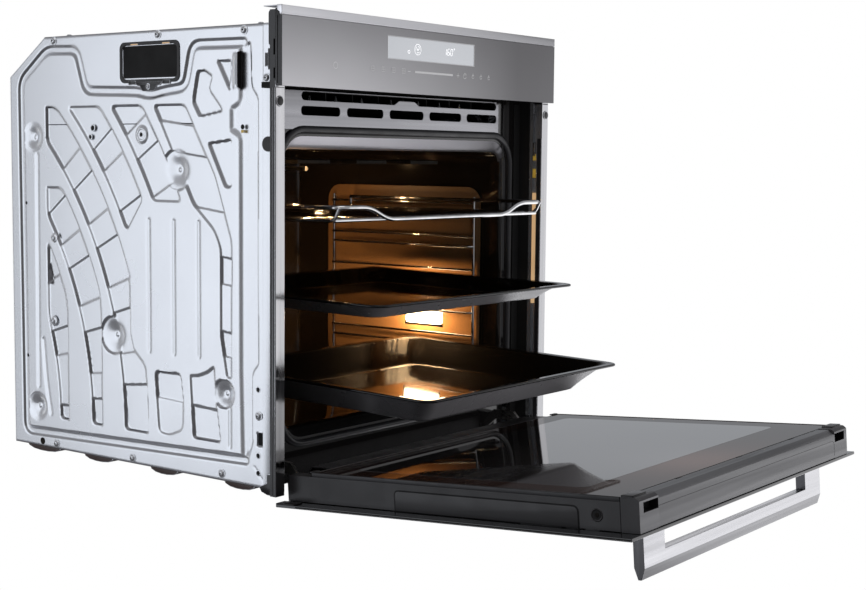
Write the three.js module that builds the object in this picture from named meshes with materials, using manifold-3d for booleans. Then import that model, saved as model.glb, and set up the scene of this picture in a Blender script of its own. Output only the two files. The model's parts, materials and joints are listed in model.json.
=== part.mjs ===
// Built-in wall oven, 595 x 595 mm front, drop-down door open, two trays and a wire shelf drawn out.
// Millimetres, +Z up, front faces -Y. The origin is the middle of the flat pad under the base pan.
import * as THREE from 'three';
import { mergeVertices } from 'three/addons/utils/BufferGeometryUtils.js';
import Module from 'manifold-3d';

const wasm = await Module();
wasm.setup();

// ---------------------------------------------------------------- driving dimensions
// All y values below are counted from the cabinet face, the plane that the side trims rest on.
const SEAT_Y = 260;            // base pad centre behind the cabinet face
const GAP = 0.4;               // clearance between neighbouring pieces
const SHEET = 1.2;             // sheet steel thickness
const FRONT_HALF = 297.5;      // half width of control panel, trims and door glass
const BODY_HALF = 279;         // half width of the carcass
const BODY_FRONT = 3;          // front edge of the carcass sides
const BODY_REAR = 521;
const BODY_TOP = 577;
const PAN_Z = 4;               // underside of the base pan
const CHAMFER_Y = 77;          // rear top corner is cut off: depth and height of the cut
const CHAMFER_Z = 53;
const FLANGE_Y = 28;           // front face of the enamelled front frame

const PANEL_Z0 = 500;          // control panel
const PANEL_Z1 = 595;
const PANEL_TRIM_Z = 584;
const PANEL_FACE = -20;
const GLASS = 4;

const TRIM_INNER = 282;        // side trims
const TRIM_FACE = -10;
const TRIM_Z0 = 2;
const TRIM_Z1 = 499;
const TRIM_TOP = 590;
const SCREW_Z = 482;

const CAVITY_HALF = 237;       // inside of the muffle
const CAVITY_Z0 = 73;
const CAVITY_Z1 = 425;
const CAVITY_REAR = 440;
const CAVITY_R = 16;
const MOUTH_HALF = 244;        // flared front edge of the muffle
const MOUTH_Z0 = 60;
const MOUTH_Z1 = 442;
const MOUTH_R = 36;
const FLARE_DEPTH = 18;

const LEVEL_TOP = 333;         // lower support wire of the highest shelf level
const LEVEL_PITCH = 50.4;
const LEVELS = 6;
const WIRE = 2;                // radius of rack wires
const RACK_Y0 = 76;
const RACK_Y1 = 356;

const LAMP_Y = 173;            // oven lamp in the right wall
const LAMP_Z = 184;
const LAMP_W = 68;
const LAMP_H = 50;

const FAN_Z = 249;             // hot air fan on the rear wall
const BAFFLE_Y = 414;

const DOOR_OPEN = 85.6;        // degrees between closed and rest
const HINGE_Y = -9.6;
const HINGE_Z = 0.4;
const DOOR_H = 496;
const DOOR_HALF = 276.5;       // door body behind the glass
const DOOR_BACK = 21;          // inner glass face when closed
const HINGE_X = 248;

const SHELF_FRONT = -48;       // how far the shelf and trays are drawn out
const UPPER_FRONT = -110;
const LOWER_FRONT = -186;
const TRAY_HALF = 223.5;
const TRAY_DEPTH = 375;

// ---------------------------------------------------------------- materials
function finish(color, metalness, roughness) {
  return new THREE.MeshStandardMaterial({ color, metalness, roughness });
}
const galvanised = finish(0xb4b7ba, 0.9, 0.35);
const satinSteel = finish(0xa9a9ac, 0.9, 0.3);
const chrome = finish(0xdcdde0, 1.0, 0.12);
const blackEnamel = finish(0x121214, 0.1, 0.12);
const linerEnamel = finish(0x4a3526, 0.1, 0.5);
const blackGlass = finish(0x0b0b0d, 0.0, 0.05);
const greyGlass = finish(0x77777b, 0.2, 0.2);
const clearGlass = finish(0xc9d2d2, 0.0, 0.05);
const lampGlass = finish(0xfff4dd, 0.0, 0.1);
const darkPlastic = finish(0x1c1c1e, 0.0, 0.5);
const rubber = finish(0x202022, 0.0, 0.8);
const wool = finish(0xc8b98a, 0.0, 1.0);
const heaterSteel = finish(0x3b3836, 0.8, 0.45);
const greenBoard = finish(0x1d5a34, 0.0, 0.5);
const nickel = finish(0x8f8d88, 0.9, 0.3);

// ---------------------------------------------------------------- solid helpers
const X = new THREE.Vector3(1, 0, 0);
const Y = new THREE.Vector3(0, 1, 0);
const Z = new THREE.Vector3(0, 0, 1);
const ALONG_X = new THREE.Matrix4().makeBasis(Y, Z, X);
const ALONG_Y = new THREE.Matrix4().makeBasis(X, Z, Y.clone().negate());

function solid(geometry) {
  geometry.deleteAttribute('uv');
  geometry.deleteAttribute('normal');
  const merged = mergeVertices(geometry, 1e-4);
  const vertProperties = new Float32Array(merged.attributes.position.array);
  const triVerts = new Uint32Array(merged.index.array);
  return new wasm.Manifold(new wasm.Mesh({ numProp: 3, vertProperties, triVerts }));
}

function toGeometry(body) {
  const { vertProperties, triVerts } = body.getMesh();
  const geometry = new THREE.BufferGeometry();
  geometry.setAttribute('position', new THREE.BufferAttribute(new Float32Array(vertProperties), 3));
  geometry.setIndex(new THREE.BufferAttribute(new Uint32Array(triVerts), 1));
  return geometry;
}

function join(parts) {
  return parts.reduce((whole, part) => whole.add(part));
}

function cut(body, tools) {
  return tools.reduce((rest, tool) => rest.subtract(tool), body);
}

function box(x0, x1, y0, y1, z0, z1) {
  const geometry = new THREE.BoxGeometry(x1 - x0, y1 - y0, z1 - z0);
  geometry.translate((x0 + x1) / 2, (y0 + y1) / 2, (z0 + z1) / 2);
  return solid(geometry);
}

// A straight round bar from one point to another.
function bar(from, to, radius, sides = 6) {
  const start = new THREE.Vector3(...from);
  const along = new THREE.Vector3(...to).sub(start);
  const geometry = new THREE.CylinderGeometry(radius, radius, along.length(), sides);
  geometry.applyQuaternion(new THREE.Quaternion().setFromUnitVectors(Y, along.clone().normalize()));
  geometry.translate(...start.addScaledVector(along, 0.5).toArray());
  return solid(geometry);
}

// A bent rod through a list of points: straight lengths that run a little past each bend.
function rod(points, radius, sides = 6) {
  const corners = points.map((point) => new THREE.Vector3(...point));
  const parts = [];
  for (let i = 1; i < corners.length; i += 1) {
    const past = corners[i].clone().sub(corners[i - 1]).setLength(radius * 0.7);
    const start = i > 1 ? corners[i - 1].clone().sub(past) : corners[i - 1];
    const end = i < corners.length - 1 ? corners[i].clone().add(past) : corners[i];
    parts.push(bar(start.toArray(), end.toArray(), radius, sides));
  }
  return join(parts);
}

// A round rod that follows a smooth curve through a list of points.
function curvedRod(points, radius, steps, sides = 6) {
  const circle = new THREE.Shape();
  circle.absarc(0, 0, radius, 0, Math.PI * 2, false);
  const extrudePath = new THREE.CatmullRomCurve3(points.map((point) => new THREE.Vector3(...point)));
  return solid(new THREE.ExtrudeGeometry(circle, { steps, extrudePath, curveSegments: sides, bevelEnabled: false }));
}

function roundedRect(x0, x1, z0, z1, r) {
  const shape = new THREE.Shape();
  shape.moveTo(x0 + r, z0);
  shape.lineTo(x1 - r, z0);
  shape.absarc(x1 - r, z0 + r, r, -Math.PI / 2, 0);
  shape.lineTo(x1, z1 - r);
  shape.absarc(x1 - r, z1 - r, r, 0, Math.PI / 2);
  shape.lineTo(x0 + r, z1);
  shape.absarc(x0 + r, z1 - r, r, Math.PI / 2, Math.PI);
  shape.lineTo(x0, z0 + r);
  shape.absarc(x0 + r, z0 + r, r, Math.PI, Math.PI * 1.5);
  return shape;
}

function polygon(points) {
  return new THREE.Shape(points.map(([u, v]) => new THREE.Vector2(u, v)));
}

function extrude(shape, depth, curveSegments = 6) {
  return new THREE.ExtrudeGeometry(shape, { depth, bevelEnabled: false, curveSegments });
}

// An outline given in (x, z), from y0 to y1.
function plateY(shape, y0, y1, segments) {
  const geometry = extrude(shape, y1 - y0, segments);
  geometry.applyMatrix4(ALONG_Y);
  geometry.translate(0, y1, 0);
  return solid(geometry);
}

// An outline given in (y, z), from x0 to x1.
function plateX(shape, x0, x1, segments) {
  const geometry = extrude(shape, x1 - x0, segments);
  geometry.applyMatrix4(ALONG_X);
  geometry.translate(x0, 0, 0);
  return solid(geometry);
}

// An outline given in (x, y), from z0 to z1.
function plateZ(shape, z0, z1, segments) {
  const geometry = extrude(shape, z1 - z0, segments);
  geometry.translate(0, 0, z0);
  return solid(geometry);
}

// A solid through rounded rectangles: each section is { w, u0, u1, v0, v1, r }, stacked along w.
function loft(sections, basis, cornerSteps = 5) {
  const count = 4 * (cornerSteps + 1);
  const positions = [];
  for (const { w, u0, u1, v0, v1, r } of sections) {
    const corners = [[u1 - r, v0 + r, -90], [u1 - r, v1 - r, 0], [u0 + r, v1 - r, 90], [u0 + r, v0 + r, 180]];
    for (const [cu, cv, start] of corners) {
      for (let step = 0; step <= cornerSteps; step += 1) {
        const angle = THREE.MathUtils.degToRad(start + (90 * step) / cornerSteps);
        positions.push(cu + r * Math.cos(angle), cv + r * Math.sin(angle), w);
      }
    }
  }
  const index = [];
  for (let s = 0; s < sections.length - 1; s += 1) {
    for (let i = 0; i < count; i += 1) {
      const a = s * count + i;
      const b = s * count + ((i + 1) % count);
      index.push(a, b, b + count, a, b + count, a + count);
    }
  }
  const last = (sections.length - 1) * count;
  for (let i = 1; i < count - 1; i += 1) {
    index.push(0, i + 1, i, last, last + i, last + i + 1);
  }
  const geometry = new THREE.BufferGeometry();
  geometry.setAttribute('position', new THREE.Float32BufferAttribute(positions, 3));
  geometry.setIndex(index);
  if (basis) geometry.applyMatrix4(basis);
  return solid(geometry);
}

function sectionY(y, half, z0, z1, r) {
  return { w: -y, u0: -half, u1: half, v0: z0, v1: z1, r };
}

// ---------------------------------------------------------------- scene graph
const oven = new THREE.Group();
const carcass = new THREE.Group();
carcass.position.y = -SEAT_Y;
oven.add(carcass);

function place(name, body, material, parent = carcass) {
  const mesh = new THREE.Mesh(toGeometry(body), material);
  mesh.name = name;
  parent.add(mesh);
  return mesh;
}

// A left piece and its mirror image on the right: build(side) gets -1 or 1.
function placePair(name, build, material, parent = carcass) {
  place(`${name}_left`, build(-1), material, parent);
  place(`${name}_right`, build(1), material, parent);
}

function sideBox(side, near, far, y0, y1, z0, z1) {
  const [x0, x1] = side > 0 ? [near, far] : [-far, -near];
  return box(x0, x1, y0, y1, z0, z1);
}

// ---------------------------------------------------------------- carcass
// One folded sheet with flanges at the top and foot, and clip holes in its front edge.
function buildSidePanel(side) {
  const outline = polygon([
    [BODY_FRONT, PAN_Z], [BODY_REAR, PAN_Z], [BODY_REAR, BODY_TOP - CHAMFER_Z],
    [BODY_REAR - CHAMFER_Y, BODY_TOP], [BODY_FRONT, BODY_TOP],
  ]);
  const x0 = side > 0 ? BODY_HALF - SHEET : -BODY_HALF;
  const skin = plateX(outline, x0, x0 + SHEET);
  const topFlange = sideBox(side, BODY_HALF - 14, BODY_HALF, BODY_FRONT, BODY_REAR - CHAMFER_Y,
    BODY_TOP - SHEET, BODY_TOP);
  const footFlange = sideBox(side, BODY_HALF - 14, BODY_HALF, FLANGE_Y + 2, BODY_REAR, PAN_Z, PAN_Z + SHEET);
  const clipHoles = [80, 300, 465].map((z) => sideBox(side, BODY_HALF - 10, BODY_HALF + 10, 9, 17, z - 6, z + 6));
  return cut(join([skin, topFlange, footFlange]), clipHoles);
}
placePair('side_panel', buildSidePanel, galvanised);

const INNER_HALF = BODY_HALF - SHEET - GAP;

function buildTopCover() {
  const z0 = BODY_TOP - SHEET;
  const half = BODY_HALF - 14 - GAP;
  const y1 = BODY_REAR - CHAMFER_Y - GAP;
  const plate = box(-half, half, BODY_FRONT, y1, z0, BODY_TOP);
  const louvres = [];
  for (let i = 0; i < 7; i += 1) {
    const x = -120 + i * 40;
    louvres.push(box(x - 4, x + 4, 300, 380, z0 - 5, BODY_TOP + 5));
  }
  return cut(plate, louvres);
}
place('top_cover', buildTopCover(), galvanised);

function buildRearCover() {
  const half = INNER_HALF;
  const top = BODY_TOP - CHAMFER_Z;
  const y1 = BODY_REAR;
  const slope = Math.hypot(CHAMFER_Y, CHAMFER_Z);
  const offY = (SHEET * CHAMFER_Z) / slope;
  const offZ = (SHEET * CHAMFER_Y) / slope;
  const z0 = PAN_Z + SHEET + GAP;
  const t = 0.985;
  const outline = polygon([
    [y1 - SHEET, z0], [y1, z0], [y1, top],
    [y1 - CHAMFER_Y * t, top + CHAMFER_Z * t - GAP],
    [y1 - CHAMFER_Y * t - offY, top + CHAMFER_Z * t - GAP - offZ], [y1 - SHEET, top - offZ],
  ]);
  const cover = plateX(outline, -half, half);
  const vents = [];
  for (let row = 0; row < 2; row += 1) {
    for (let i = 0; i < 8; i += 1) {
      const x = -140 + i * 40;
      const z = 400 + row * 50;
      vents.push(box(x - 4, x + 4, y1 - 10, y1 + 10, z, z + 36));
    }
  }
  return cut(cover, vents);
}
place('rear_cover', buildRearCover(), galvanised);

// The base pan has a flat pressed pad in the middle and four pressed runners on each side.
function buildBasePan() {
  const half = BODY_HALF - 14 - GAP;
  const y0 = FLANGE_Y + 3;
  const y1 = BODY_REAR - SHEET - GAP;
  const plate = box(-half, half, y0, y1, PAN_Z, PAN_Z + SHEET);
  const dishes = [[-110, 110, 180, 340]];
  const runners = [[44, 100], [183, 238], [310, 372], [420, 495]];
  for (const [a, b] of runners) {
    dishes.push([-262, -228, a, b], [228, 262, a, b]);
  }
  const pressed = [];
  const hollows = [];
  for (const [x0, x1, a, b] of dishes) {
    const outer = { u0: x0, u1: x1, v0: a, v1: b, r: 12 };
    const foot = { u0: x0 + 5, u1: x1 - 5, v0: a + 6, v1: b - 6, r: 9 };
    const inner = { u0: x0 + 2, u1: x1 - 2, v0: a + 2, v1: b - 2, r: 10 };
    const well = { u0: x0 + 6.4, u1: x1 - 6.4, v0: a + 7.4, v1: b - 7.4, r: 7.6 };
    pressed.push(loft([{ w: 0, ...foot }, { w: PAN_Z + 0.5, ...outer }], null, 1));
    hollows.push(loft([{ w: SHEET, ...well }, { w: PAN_Z + SHEET + 1, ...inner }], null, 1));
  }
  return cut(join([plate, ...pressed]), hollows);
}
place('base_pan', buildBasePan(), blackEnamel);

// ---------------------------------------------------------------- enamelled front frame
function ventSlots() {
  const slots = [];
  const pitch = 88;
  for (let i = -2; i <= 2; i += 1) {
    slots.push(plateY(roundedRect(i * pitch - 37.5, i * pitch + 37.5, 468, 480, 3), FLANGE_Y - 5, FLANGE_Y + 5, 2));
  }
  return slots;
}

function outletSlot() {
  const wide = plateY(roundedRect(-212, 212, 487, 498, 5), FLANGE_Y - 5, FLANGE_Y + 5, 3);
  const bump = plateY(polygon([[-22, 486], [22, 486], [14, 493], [-14, 493]]), FLANGE_Y - 6, FLANGE_Y + 6);
  return wide.subtract(bump);
}

function buildFrontFrame() {
  const plate = box(-INNER_HALF, INNER_HALF, FLANGE_Y, FLANGE_Y + SHEET, PAN_Z, PANEL_Z0 + 4);
  const mouth = plateY(roundedRect(-MOUTH_HALF, MOUTH_HALF, MOUTH_Z0, MOUTH_Z1, MOUTH_R), FLANGE_Y - 5, FLANGE_Y + 5, 6);
  const hingeSlots = [-1, 1].map((s) => sideBox(s, HINGE_X - 6, HINGE_X + 6, FLANGE_Y - 5, FLANGE_Y + 5, 16, 44));
  const switchHole = bar([-262, FLANGE_Y - 5, 470], [-262, FLANGE_Y + 5, 470], 4.5, 12);
  return cut(plate, [mouth, outletSlot(), switchHole, ...ventSlots(), ...hingeSlots]);
}
place('front_frame', buildFrontFrame(), blackEnamel);

// Hollow section trim: a front strip, an outer return to the cabinet and an inner return.
function buildTrim(side) {
  const s = side;
  const outline = [
    [TRIM_INNER, TRIM_FACE], [FRONT_HALF, TRIM_FACE], [FRONT_HALF, 0], [TRIM_INNER + 1.5, 0],
    [TRIM_INNER + 1.5, FLANGE_Y - 3], [TRIM_INNER, FLANGE_Y - 3],
  ];
  const shape = polygon(outline.map(([x, y]) => [s * x, y]));
  // The outer return runs on up behind the control panel.
  const body = plateZ(shape, TRIM_Z0, TRIM_Z1)
    .add(sideBox(side, FRONT_HALF - 6, FRONT_HALF, TRIM_FACE + 0.8, 0, TRIM_Z1 - 2, TRIM_TOP));
  const screwX = s * (TRIM_INNER + FRONT_HALF + 2) / 2;
  return cut(body, [bar([screwX, TRIM_FACE - 5, SCREW_Z], [screwX, 5, SCREW_Z], 3.2, 16)]);
}
placePair('side_trim', buildTrim, satinSteel);


// ---------------------------------------------------------------- cavity
function buildMuffle() {
  const t = SHEET;
  const y0 = FLANGE_Y + SHEET + GAP;
  const y1 = y0 + FLARE_DEPTH;
  const outer = loft([
    sectionY(CAVITY_REAR + t, CAVITY_HALF + t, CAVITY_Z0 - t, CAVITY_Z1 + t, CAVITY_R),
    sectionY(y1, CAVITY_HALF + t, CAVITY_Z0 - t, CAVITY_Z1 + t, CAVITY_R),
    sectionY(y1 - 9, CAVITY_HALF + t + 2, CAVITY_Z0 - t - 4, CAVITY_Z1 + t + 5, CAVITY_R + 2),
    sectionY(y0, MOUTH_HALF + t, MOUTH_Z0 - t, MOUTH_Z1 + t, MOUTH_R),
  ], ALONG_Y);
  const inner = loft([
    sectionY(CAVITY_REAR, CAVITY_HALF, CAVITY_Z0, CAVITY_Z1, CAVITY_R),
    sectionY(y1, CAVITY_HALF, CAVITY_Z0, CAVITY_Z1, CAVITY_R),
    sectionY(y1 - 9, CAVITY_HALF + 2, CAVITY_Z0 - 4, CAVITY_Z1 + 5, CAVITY_R + 2),
    sectionY(y0 - 0.1, MOUTH_HALF, MOUTH_Z0, MOUTH_Z1, MOUTH_R),
  ], ALONG_Y);
  const lampHole = box(CAVITY_HALF - 20, CAVITY_HALF + 20, LAMP_Y - LAMP_W / 2 + 3, LAMP_Y + LAMP_W / 2 - 3,
    LAMP_Z - LAMP_H / 2 + 3, LAMP_Z + LAMP_H / 2 - 3);
  const shaftHole = bar([0, CAVITY_REAR - 20, FAN_Z], [0, CAVITY_REAR + 20, FAN_Z], 7, 16);
  const heaterHole = (x, z) => bar([x, CAVITY_REAR - 9, z], [x, CAVITY_REAR + 9, z], 4.2, 10);
  const leads = [[-30, 405], [30, 405], [-20, 139], [20, 139], [120, 398]].map(([x, z]) => heaterHole(x, z));
  return cut(outer, [inner, lampHole, shaftHole, ...leads]);
}
place('cavity_muffle', buildMuffle(), blackEnamel);

function buildSeal() {
  const y0 = FLANGE_Y - 5.2;
  const y1 = FLANGE_Y - GAP;
  const lip = loft([
    sectionY(y1, 254, 49, 454, 46), sectionY(y0 + 2, 254, 49, 454, 46), sectionY(y0, 251, 52, 451, 43),
  ], ALONG_Y);
  const inside = loft([
    sectionY(y1 + 1, 246, 58, 444.5, 38), sectionY(y0 + 2, 246, 58, 444.5, 38), sectionY(y0 - 1, 249, 55, 447.5, 41),
  ], ALONG_Y);
  return lip.subtract(inside);
}
place('door_seal', buildSeal(), rubber);

// Mineral wool round the top, bottom and both sides of the muffle.
function buildInsulation() {
  const y0 = 62;
  const y1 = 434;
  const outer = loft([sectionY(y1, 262, 40, 455, 30), sectionY(y0, 262, 40, 455, 30)], ALONG_Y, 3);
  const inner = loft([sectionY(y1 + 1, 241, 58, 431, 26), sectionY(y0 - 1, 241, 58, 431, 26)], ALONG_Y, 3);
  const lampGap = box(230, 270, LAMP_Y - 46, LAMP_Y + 46, LAMP_Z - 38, LAMP_Z + 38);
  return cut(outer, [inner, lampGap]);
}
place('insulation_wrap', buildInsulation(), wool);

function buildLiner(side) {
  const shape = roundedRect(67, 371, 92, 373, 24);
  const x0 = side > 0 ? 233 : -234;
  const panel = plateX(shape, x0, x0 + 1, 5);
  if (side < 0) return panel;
  const hole = box(220, 240, LAMP_Y - LAMP_W / 2 - 4, LAMP_Y + LAMP_W / 2 + 4, LAMP_Z - LAMP_H / 2 - 4, LAMP_Z + LAMP_H / 2 + 4);
  return panel.subtract(hole);
}
placePair('side_liner', buildLiner, linerEnamel);

// Each rack has two uprights and a pair of wires for every shelf level; the lower wire is cranked inwards.
function buildRack(side) {
  const x = side * 229.6;
  const inset = side * 222;
  const low = LEVEL_TOP - LEVEL_PITCH * (LEVELS - 1);
  const uprights = [RACK_Y0, RACK_Y1].map((y) => bar([x, y, low - 3], [x, y, LEVEL_TOP + 25], 2.2));
  const wires = [];
  for (let level = 0; level < LEVELS; level += 1) {
    const z = LEVEL_TOP - level * LEVEL_PITCH;
    wires.push(rod([[x, RACK_Y0, z], [inset, RACK_Y0 + 4, z], [inset, RACK_Y1 - 4, z], [x, RACK_Y1, z]], WIRE));
    wires.push(bar([side * 227.5, RACK_Y0 - 1, z + 15], [side * 227.5, RACK_Y1 + 1, z + 15], WIRE));
  }
  return join([...uprights, ...wires]);
}
placePair('side_rack', buildRack, chrome);

// ---------------------------------------------------------------- heaters, fan and lamp
function buildGrill() {
  const z = 410;
  const near = 90;
  const far = 330;
  const points = [[-30, CAVITY_REAR + 12, 405], [-30, 380, z], [-150, 380, z]];
  [-150, -90, -30, 30, 90, 150].forEach((x, i) => {
    const ends = i % 2 === 0 ? [far, near] : [near, far];
    points.push(...ends.map((y) => [x, y, z]));
  });
  points.push([150, 380, z], [30, 380, z], [30, CAVITY_REAR + 12, 405]);
  return rod(points, 3.2);
}
place('grill_element', buildGrill(), heaterSteel);

// An open ring round the fan, with two straight tails that pass out through the rear wall.
function buildRingElement() {
  const y = 428;
  const radius = 96;
  const points = [];
  for (let i = 0; i <= 24; i += 1) {
    const angle = THREE.MathUtils.degToRad(-78 + 14 * i);
    points.push([radius * Math.cos(angle), y, FAN_Z + radius * Math.sin(angle)]);
  }
  const ends = [points[0], points[points.length - 1]];
  const tails = ends.map(([x, , z]) => rod([[x, y, z], [x, y, 139], [x, CAVITY_REAR + 12, 139]], 3.2));
  return join([curvedRod(points, 3.2, 24), ...tails]);
}
place('ring_element', buildRingElement(), heaterSteel);

function buildBaseElement() {
  const z = 64.5;
  return rod([[-30, 425, z], [-30, 395, z], [-190, 395, z], [-190, 95, z], [-80, 95, z], [-80, 340, z],
    [80, 340, z], [80, 95, z], [190, 95, z], [190, 395, z], [30, 395, z], [30, 425, z]], 3.2);
}
place('base_element', buildBaseElement(), heaterSteel);

function buildBaffle() {
  const half = 150;
  const face = loft([
    sectionY(BAFFLE_Y + 24, half + 8, FAN_Z - 140, FAN_Z + 132, 24),
    sectionY(BAFFLE_Y, half, FAN_Z - 132, FAN_Z + 124, 24),
  ], ALONG_Y, 4);
  const hollow = loft([
    sectionY(BAFFLE_Y + 25, half + 7, FAN_Z - 139, FAN_Z + 131, 23),
    sectionY(BAFFLE_Y + 1.2, half - 1, FAN_Z - 131, FAN_Z + 123, 23),
  ], ALONG_Y, 4);
  const openings = [];
  for (let i = 0; i < 10; i += 1) {
    const angle = (i * Math.PI) / 5;
    for (const [radius, width] of [[26, 5], [50, 9]]) {
      const slot = new THREE.BoxGeometry(18, 30, width * 2);
      slot.translate(radius, 0, 0);
      slot.rotateY(angle);
      slot.translate(0, BAFFLE_Y, FAN_Z);
      openings.push(solid(slot));
    }
  }
  for (const side of [-1, 1]) {
    for (let i = 0; i < 5; i += 1) {
      const z = FAN_Z - 92 + i * 44;
      openings.push(box(side * 130 - 9, side * 130 + 9, BAFFLE_Y - 5, BAFFLE_Y + 5, z, z + 12));
    }
  }
  return cut(face, [hollow, ...openings]);
}
place('fan_baffle', buildBaffle(), blackEnamel);

function buildFanWheel() {
  const hub = bar([0, 422, FAN_Z], [0, CAVITY_REAR + 20, FAN_Z], 4, 16);
  const disc = bar([0, 432, FAN_Z], [0, 433.5, FAN_Z], 74, 36);
  const blades = [];
  for (let i = 0; i < 10; i += 1) {
    const blade = new THREE.BoxGeometry(34, 12, 1.4);
    blade.rotateY(0.5);
    blade.translate(56, 427, 0);
    blade.rotateY((i * Math.PI) / 5);
    blade.translate(0, 0, FAN_Z);
    blades.push(solid(blade));
  }
  return join([hub, disc, bar([0, 424, FAN_Z], [0, 433, FAN_Z], 12, 16), ...blades]);
}
place('fan_wheel', buildFanWheel(), nickel);

function buildFanMotor() {
  const y0 = CAVITY_REAR + 21;
  const can = bar([0, y0, FAN_Z], [0, y0 + 42, FAN_Z], 34, 28);
  const stack = box(-38, 38, y0 + 12, y0 + 30, FAN_Z - 38, FAN_Z + 38);
  const bracket = box(-70, 70, y0 + 1, y0 + 3, FAN_Z - 12, FAN_Z + 12);
  const bore = bar([0, y0 - 5, FAN_Z], [0, y0 + 36, FAN_Z], 4.6, 16);
  const legs = [-1, 1].map((s) => sideBox(s, 62, 70, CAVITY_REAR + SHEET + 17.5, y0 + 2, FAN_Z - 12, FAN_Z + 12));
  return join([can, stack, bracket, ...legs]).subtract(bore);
}
place('fan_motor', buildFanMotor(), nickel);

function buildLampHousing() {
  const y0 = LAMP_Y - LAMP_W / 2;
  const y1 = LAMP_Y + LAMP_W / 2;
  const z0 = LAMP_Z - LAMP_H / 2;
  const z1 = LAMP_Z + LAMP_H / 2;
  const cup = box(CAVITY_HALF + SHEET + GAP, 268, y0 - 6, y1 + 6, z0 - 6, z1 + 6);
  const hollow = box(CAVITY_HALF - 5, 266.5, y0 + 3, y1 - 3, z0 + 3, z1 - 3);
  return cup.subtract(hollow);
}
place('lamp_housing', buildLampHousing(), galvanised);

function buildLampLens() {
  const y0 = LAMP_Y - LAMP_W / 2;
  const z0 = LAMP_Z - LAMP_H / 2;
  const plate = plateX(roundedRect(y0, y0 + LAMP_W, z0, z0 + LAMP_H, 4), 231.6, CAVITY_HALF - GAP, 3);
  const neck = box(CAVITY_HALF - 1, CAVITY_HALF + 6, y0 + 4, y0 + LAMP_W - 4, z0 + 4, z0 + LAMP_H - 4);
  const hollow = box(CAVITY_HALF - 3, CAVITY_HALF + 8, y0 + 7, y0 + LAMP_W - 7, z0 + 7, z0 + LAMP_H - 7);
  return join([plate, neck]).subtract(hollow);
}
place('lamp_lens', buildLampLens(), lampGlass);

function buildBulb() {
  const x = 252;
  const glass = bar([x, LAMP_Y - 16, LAMP_Z], [x, LAMP_Y + 8, LAMP_Z], 7, 12);
  const cap = bar([x, LAMP_Y + 7, LAMP_Z], [x, LAMP_Y + 26, LAMP_Z], 5, 12);
  return glass.add(cap);
}
place('lamp_bulb', buildBulb(), lampGlass);

place('temperature_probe', rod([[120, 320, 398], [120, CAVITY_REAR + 14, 398]], 3, 10)
  .add(bar([120, 318, 398], [120, 330, 398], 4, 12)), nickel);

// ---------------------------------------------------------------- cooling air and electrics
function buildAirDuct() {
  const outline = (a) => polygon([[FLANGE_Y + 3 - a, 484 + a / 4], [250 + a, 463 + a / 4], [250 + a, 502 - a / 4],
    [FLANGE_Y + 3 - a, 502 - a / 4]]);
  const shell = plateX(outline(0), -216, 216);
  const hollow = plateX(outline(6), -214.5, 214.5);
  const ribs = [];
  for (let i = 1; i < 8; i += 1) {
    const x = -212 + i * 53;
    ribs.push(box(x - 0.8, x + 0.8, FLANGE_Y + 5, FLANGE_Y + 30, 484.5, 501.5));
  }
  return join([shell.subtract(hollow), ...ribs]);
}
place('air_duct', buildAirDuct(), galvanised);

const BLOWER_Y = 296;
const BLOWER_Z = 505;

function buildBlowerHousing() {
  const arc = new THREE.Shape();
  arc.absarc(BLOWER_Y, BLOWER_Z, 44, -Math.PI / 2, Math.PI * 0.75, false);
  arc.lineTo(254, BLOWER_Z - 2);
  arc.lineTo(254, BLOWER_Z - 44);
  const body = plateX(arc, -112, 112, 14);
  const chamber = bar([-110.5, BLOWER_Y, BLOWER_Z], [110.5, BLOWER_Y, BLOWER_Z], 41, 32);
  const mouth = box(-110, 110, 240, BLOWER_Y, BLOWER_Z - 40, BLOWER_Z - 4);
  const intake = box(-100, 100, BLOWER_Y - 14, BLOWER_Y + 14, BLOWER_Z + 20, BLOWER_Z + 60);
  const bores = bar([-130, BLOWER_Y, BLOWER_Z], [130, BLOWER_Y, BLOWER_Z], 3.4, 12);
  return cut(body, [chamber, mouth, intake, bores]);
}
place('blower_housing', buildBlowerHousing(), galvanised);

function buildBlowerWheel() {
  const parts = [bar([-126, BLOWER_Y, BLOWER_Z], [116, BLOWER_Y, BLOWER_Z], 2.8, 12)];
  for (const x of [-104, 0, 103]) {
    parts.push(bar([x, BLOWER_Y, BLOWER_Z], [x + 1.5, BLOWER_Y, BLOWER_Z], 31.5, 20));
  }
  for (let i = 0; i < 10; i += 1) {
    const blade = new THREE.BoxGeometry(208, 9, 1);
    blade.rotateX(0.6);
    blade.translate(0, 26, 0);
    blade.rotateX((i * Math.PI) / 5);
    blade.translate(0, BLOWER_Y, BLOWER_Z);
    parts.push(solid(blade));
  }
  return join(parts);
}
place('blower_wheel', buildBlowerWheel(), nickel);
place('blower_motor', box(-168, -118, BLOWER_Y - 24, BLOWER_Y + 24, BLOWER_Z - 26, BLOWER_Z + 26)
  .subtract(bar([-150, BLOWER_Y, BLOWER_Z], [-100, BLOWER_Y, BLOWER_Z], 3.4, 12)), nickel);

// The blower stands on a shelf above the insulation.
place('blower_tray', box(-INNER_HALF + 2, INNER_HALF - 2, 60, 500, 456.4, 457.6)
  .subtract(box(-60, 60, 455, 505, 440, 470)), galvanised);

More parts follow.
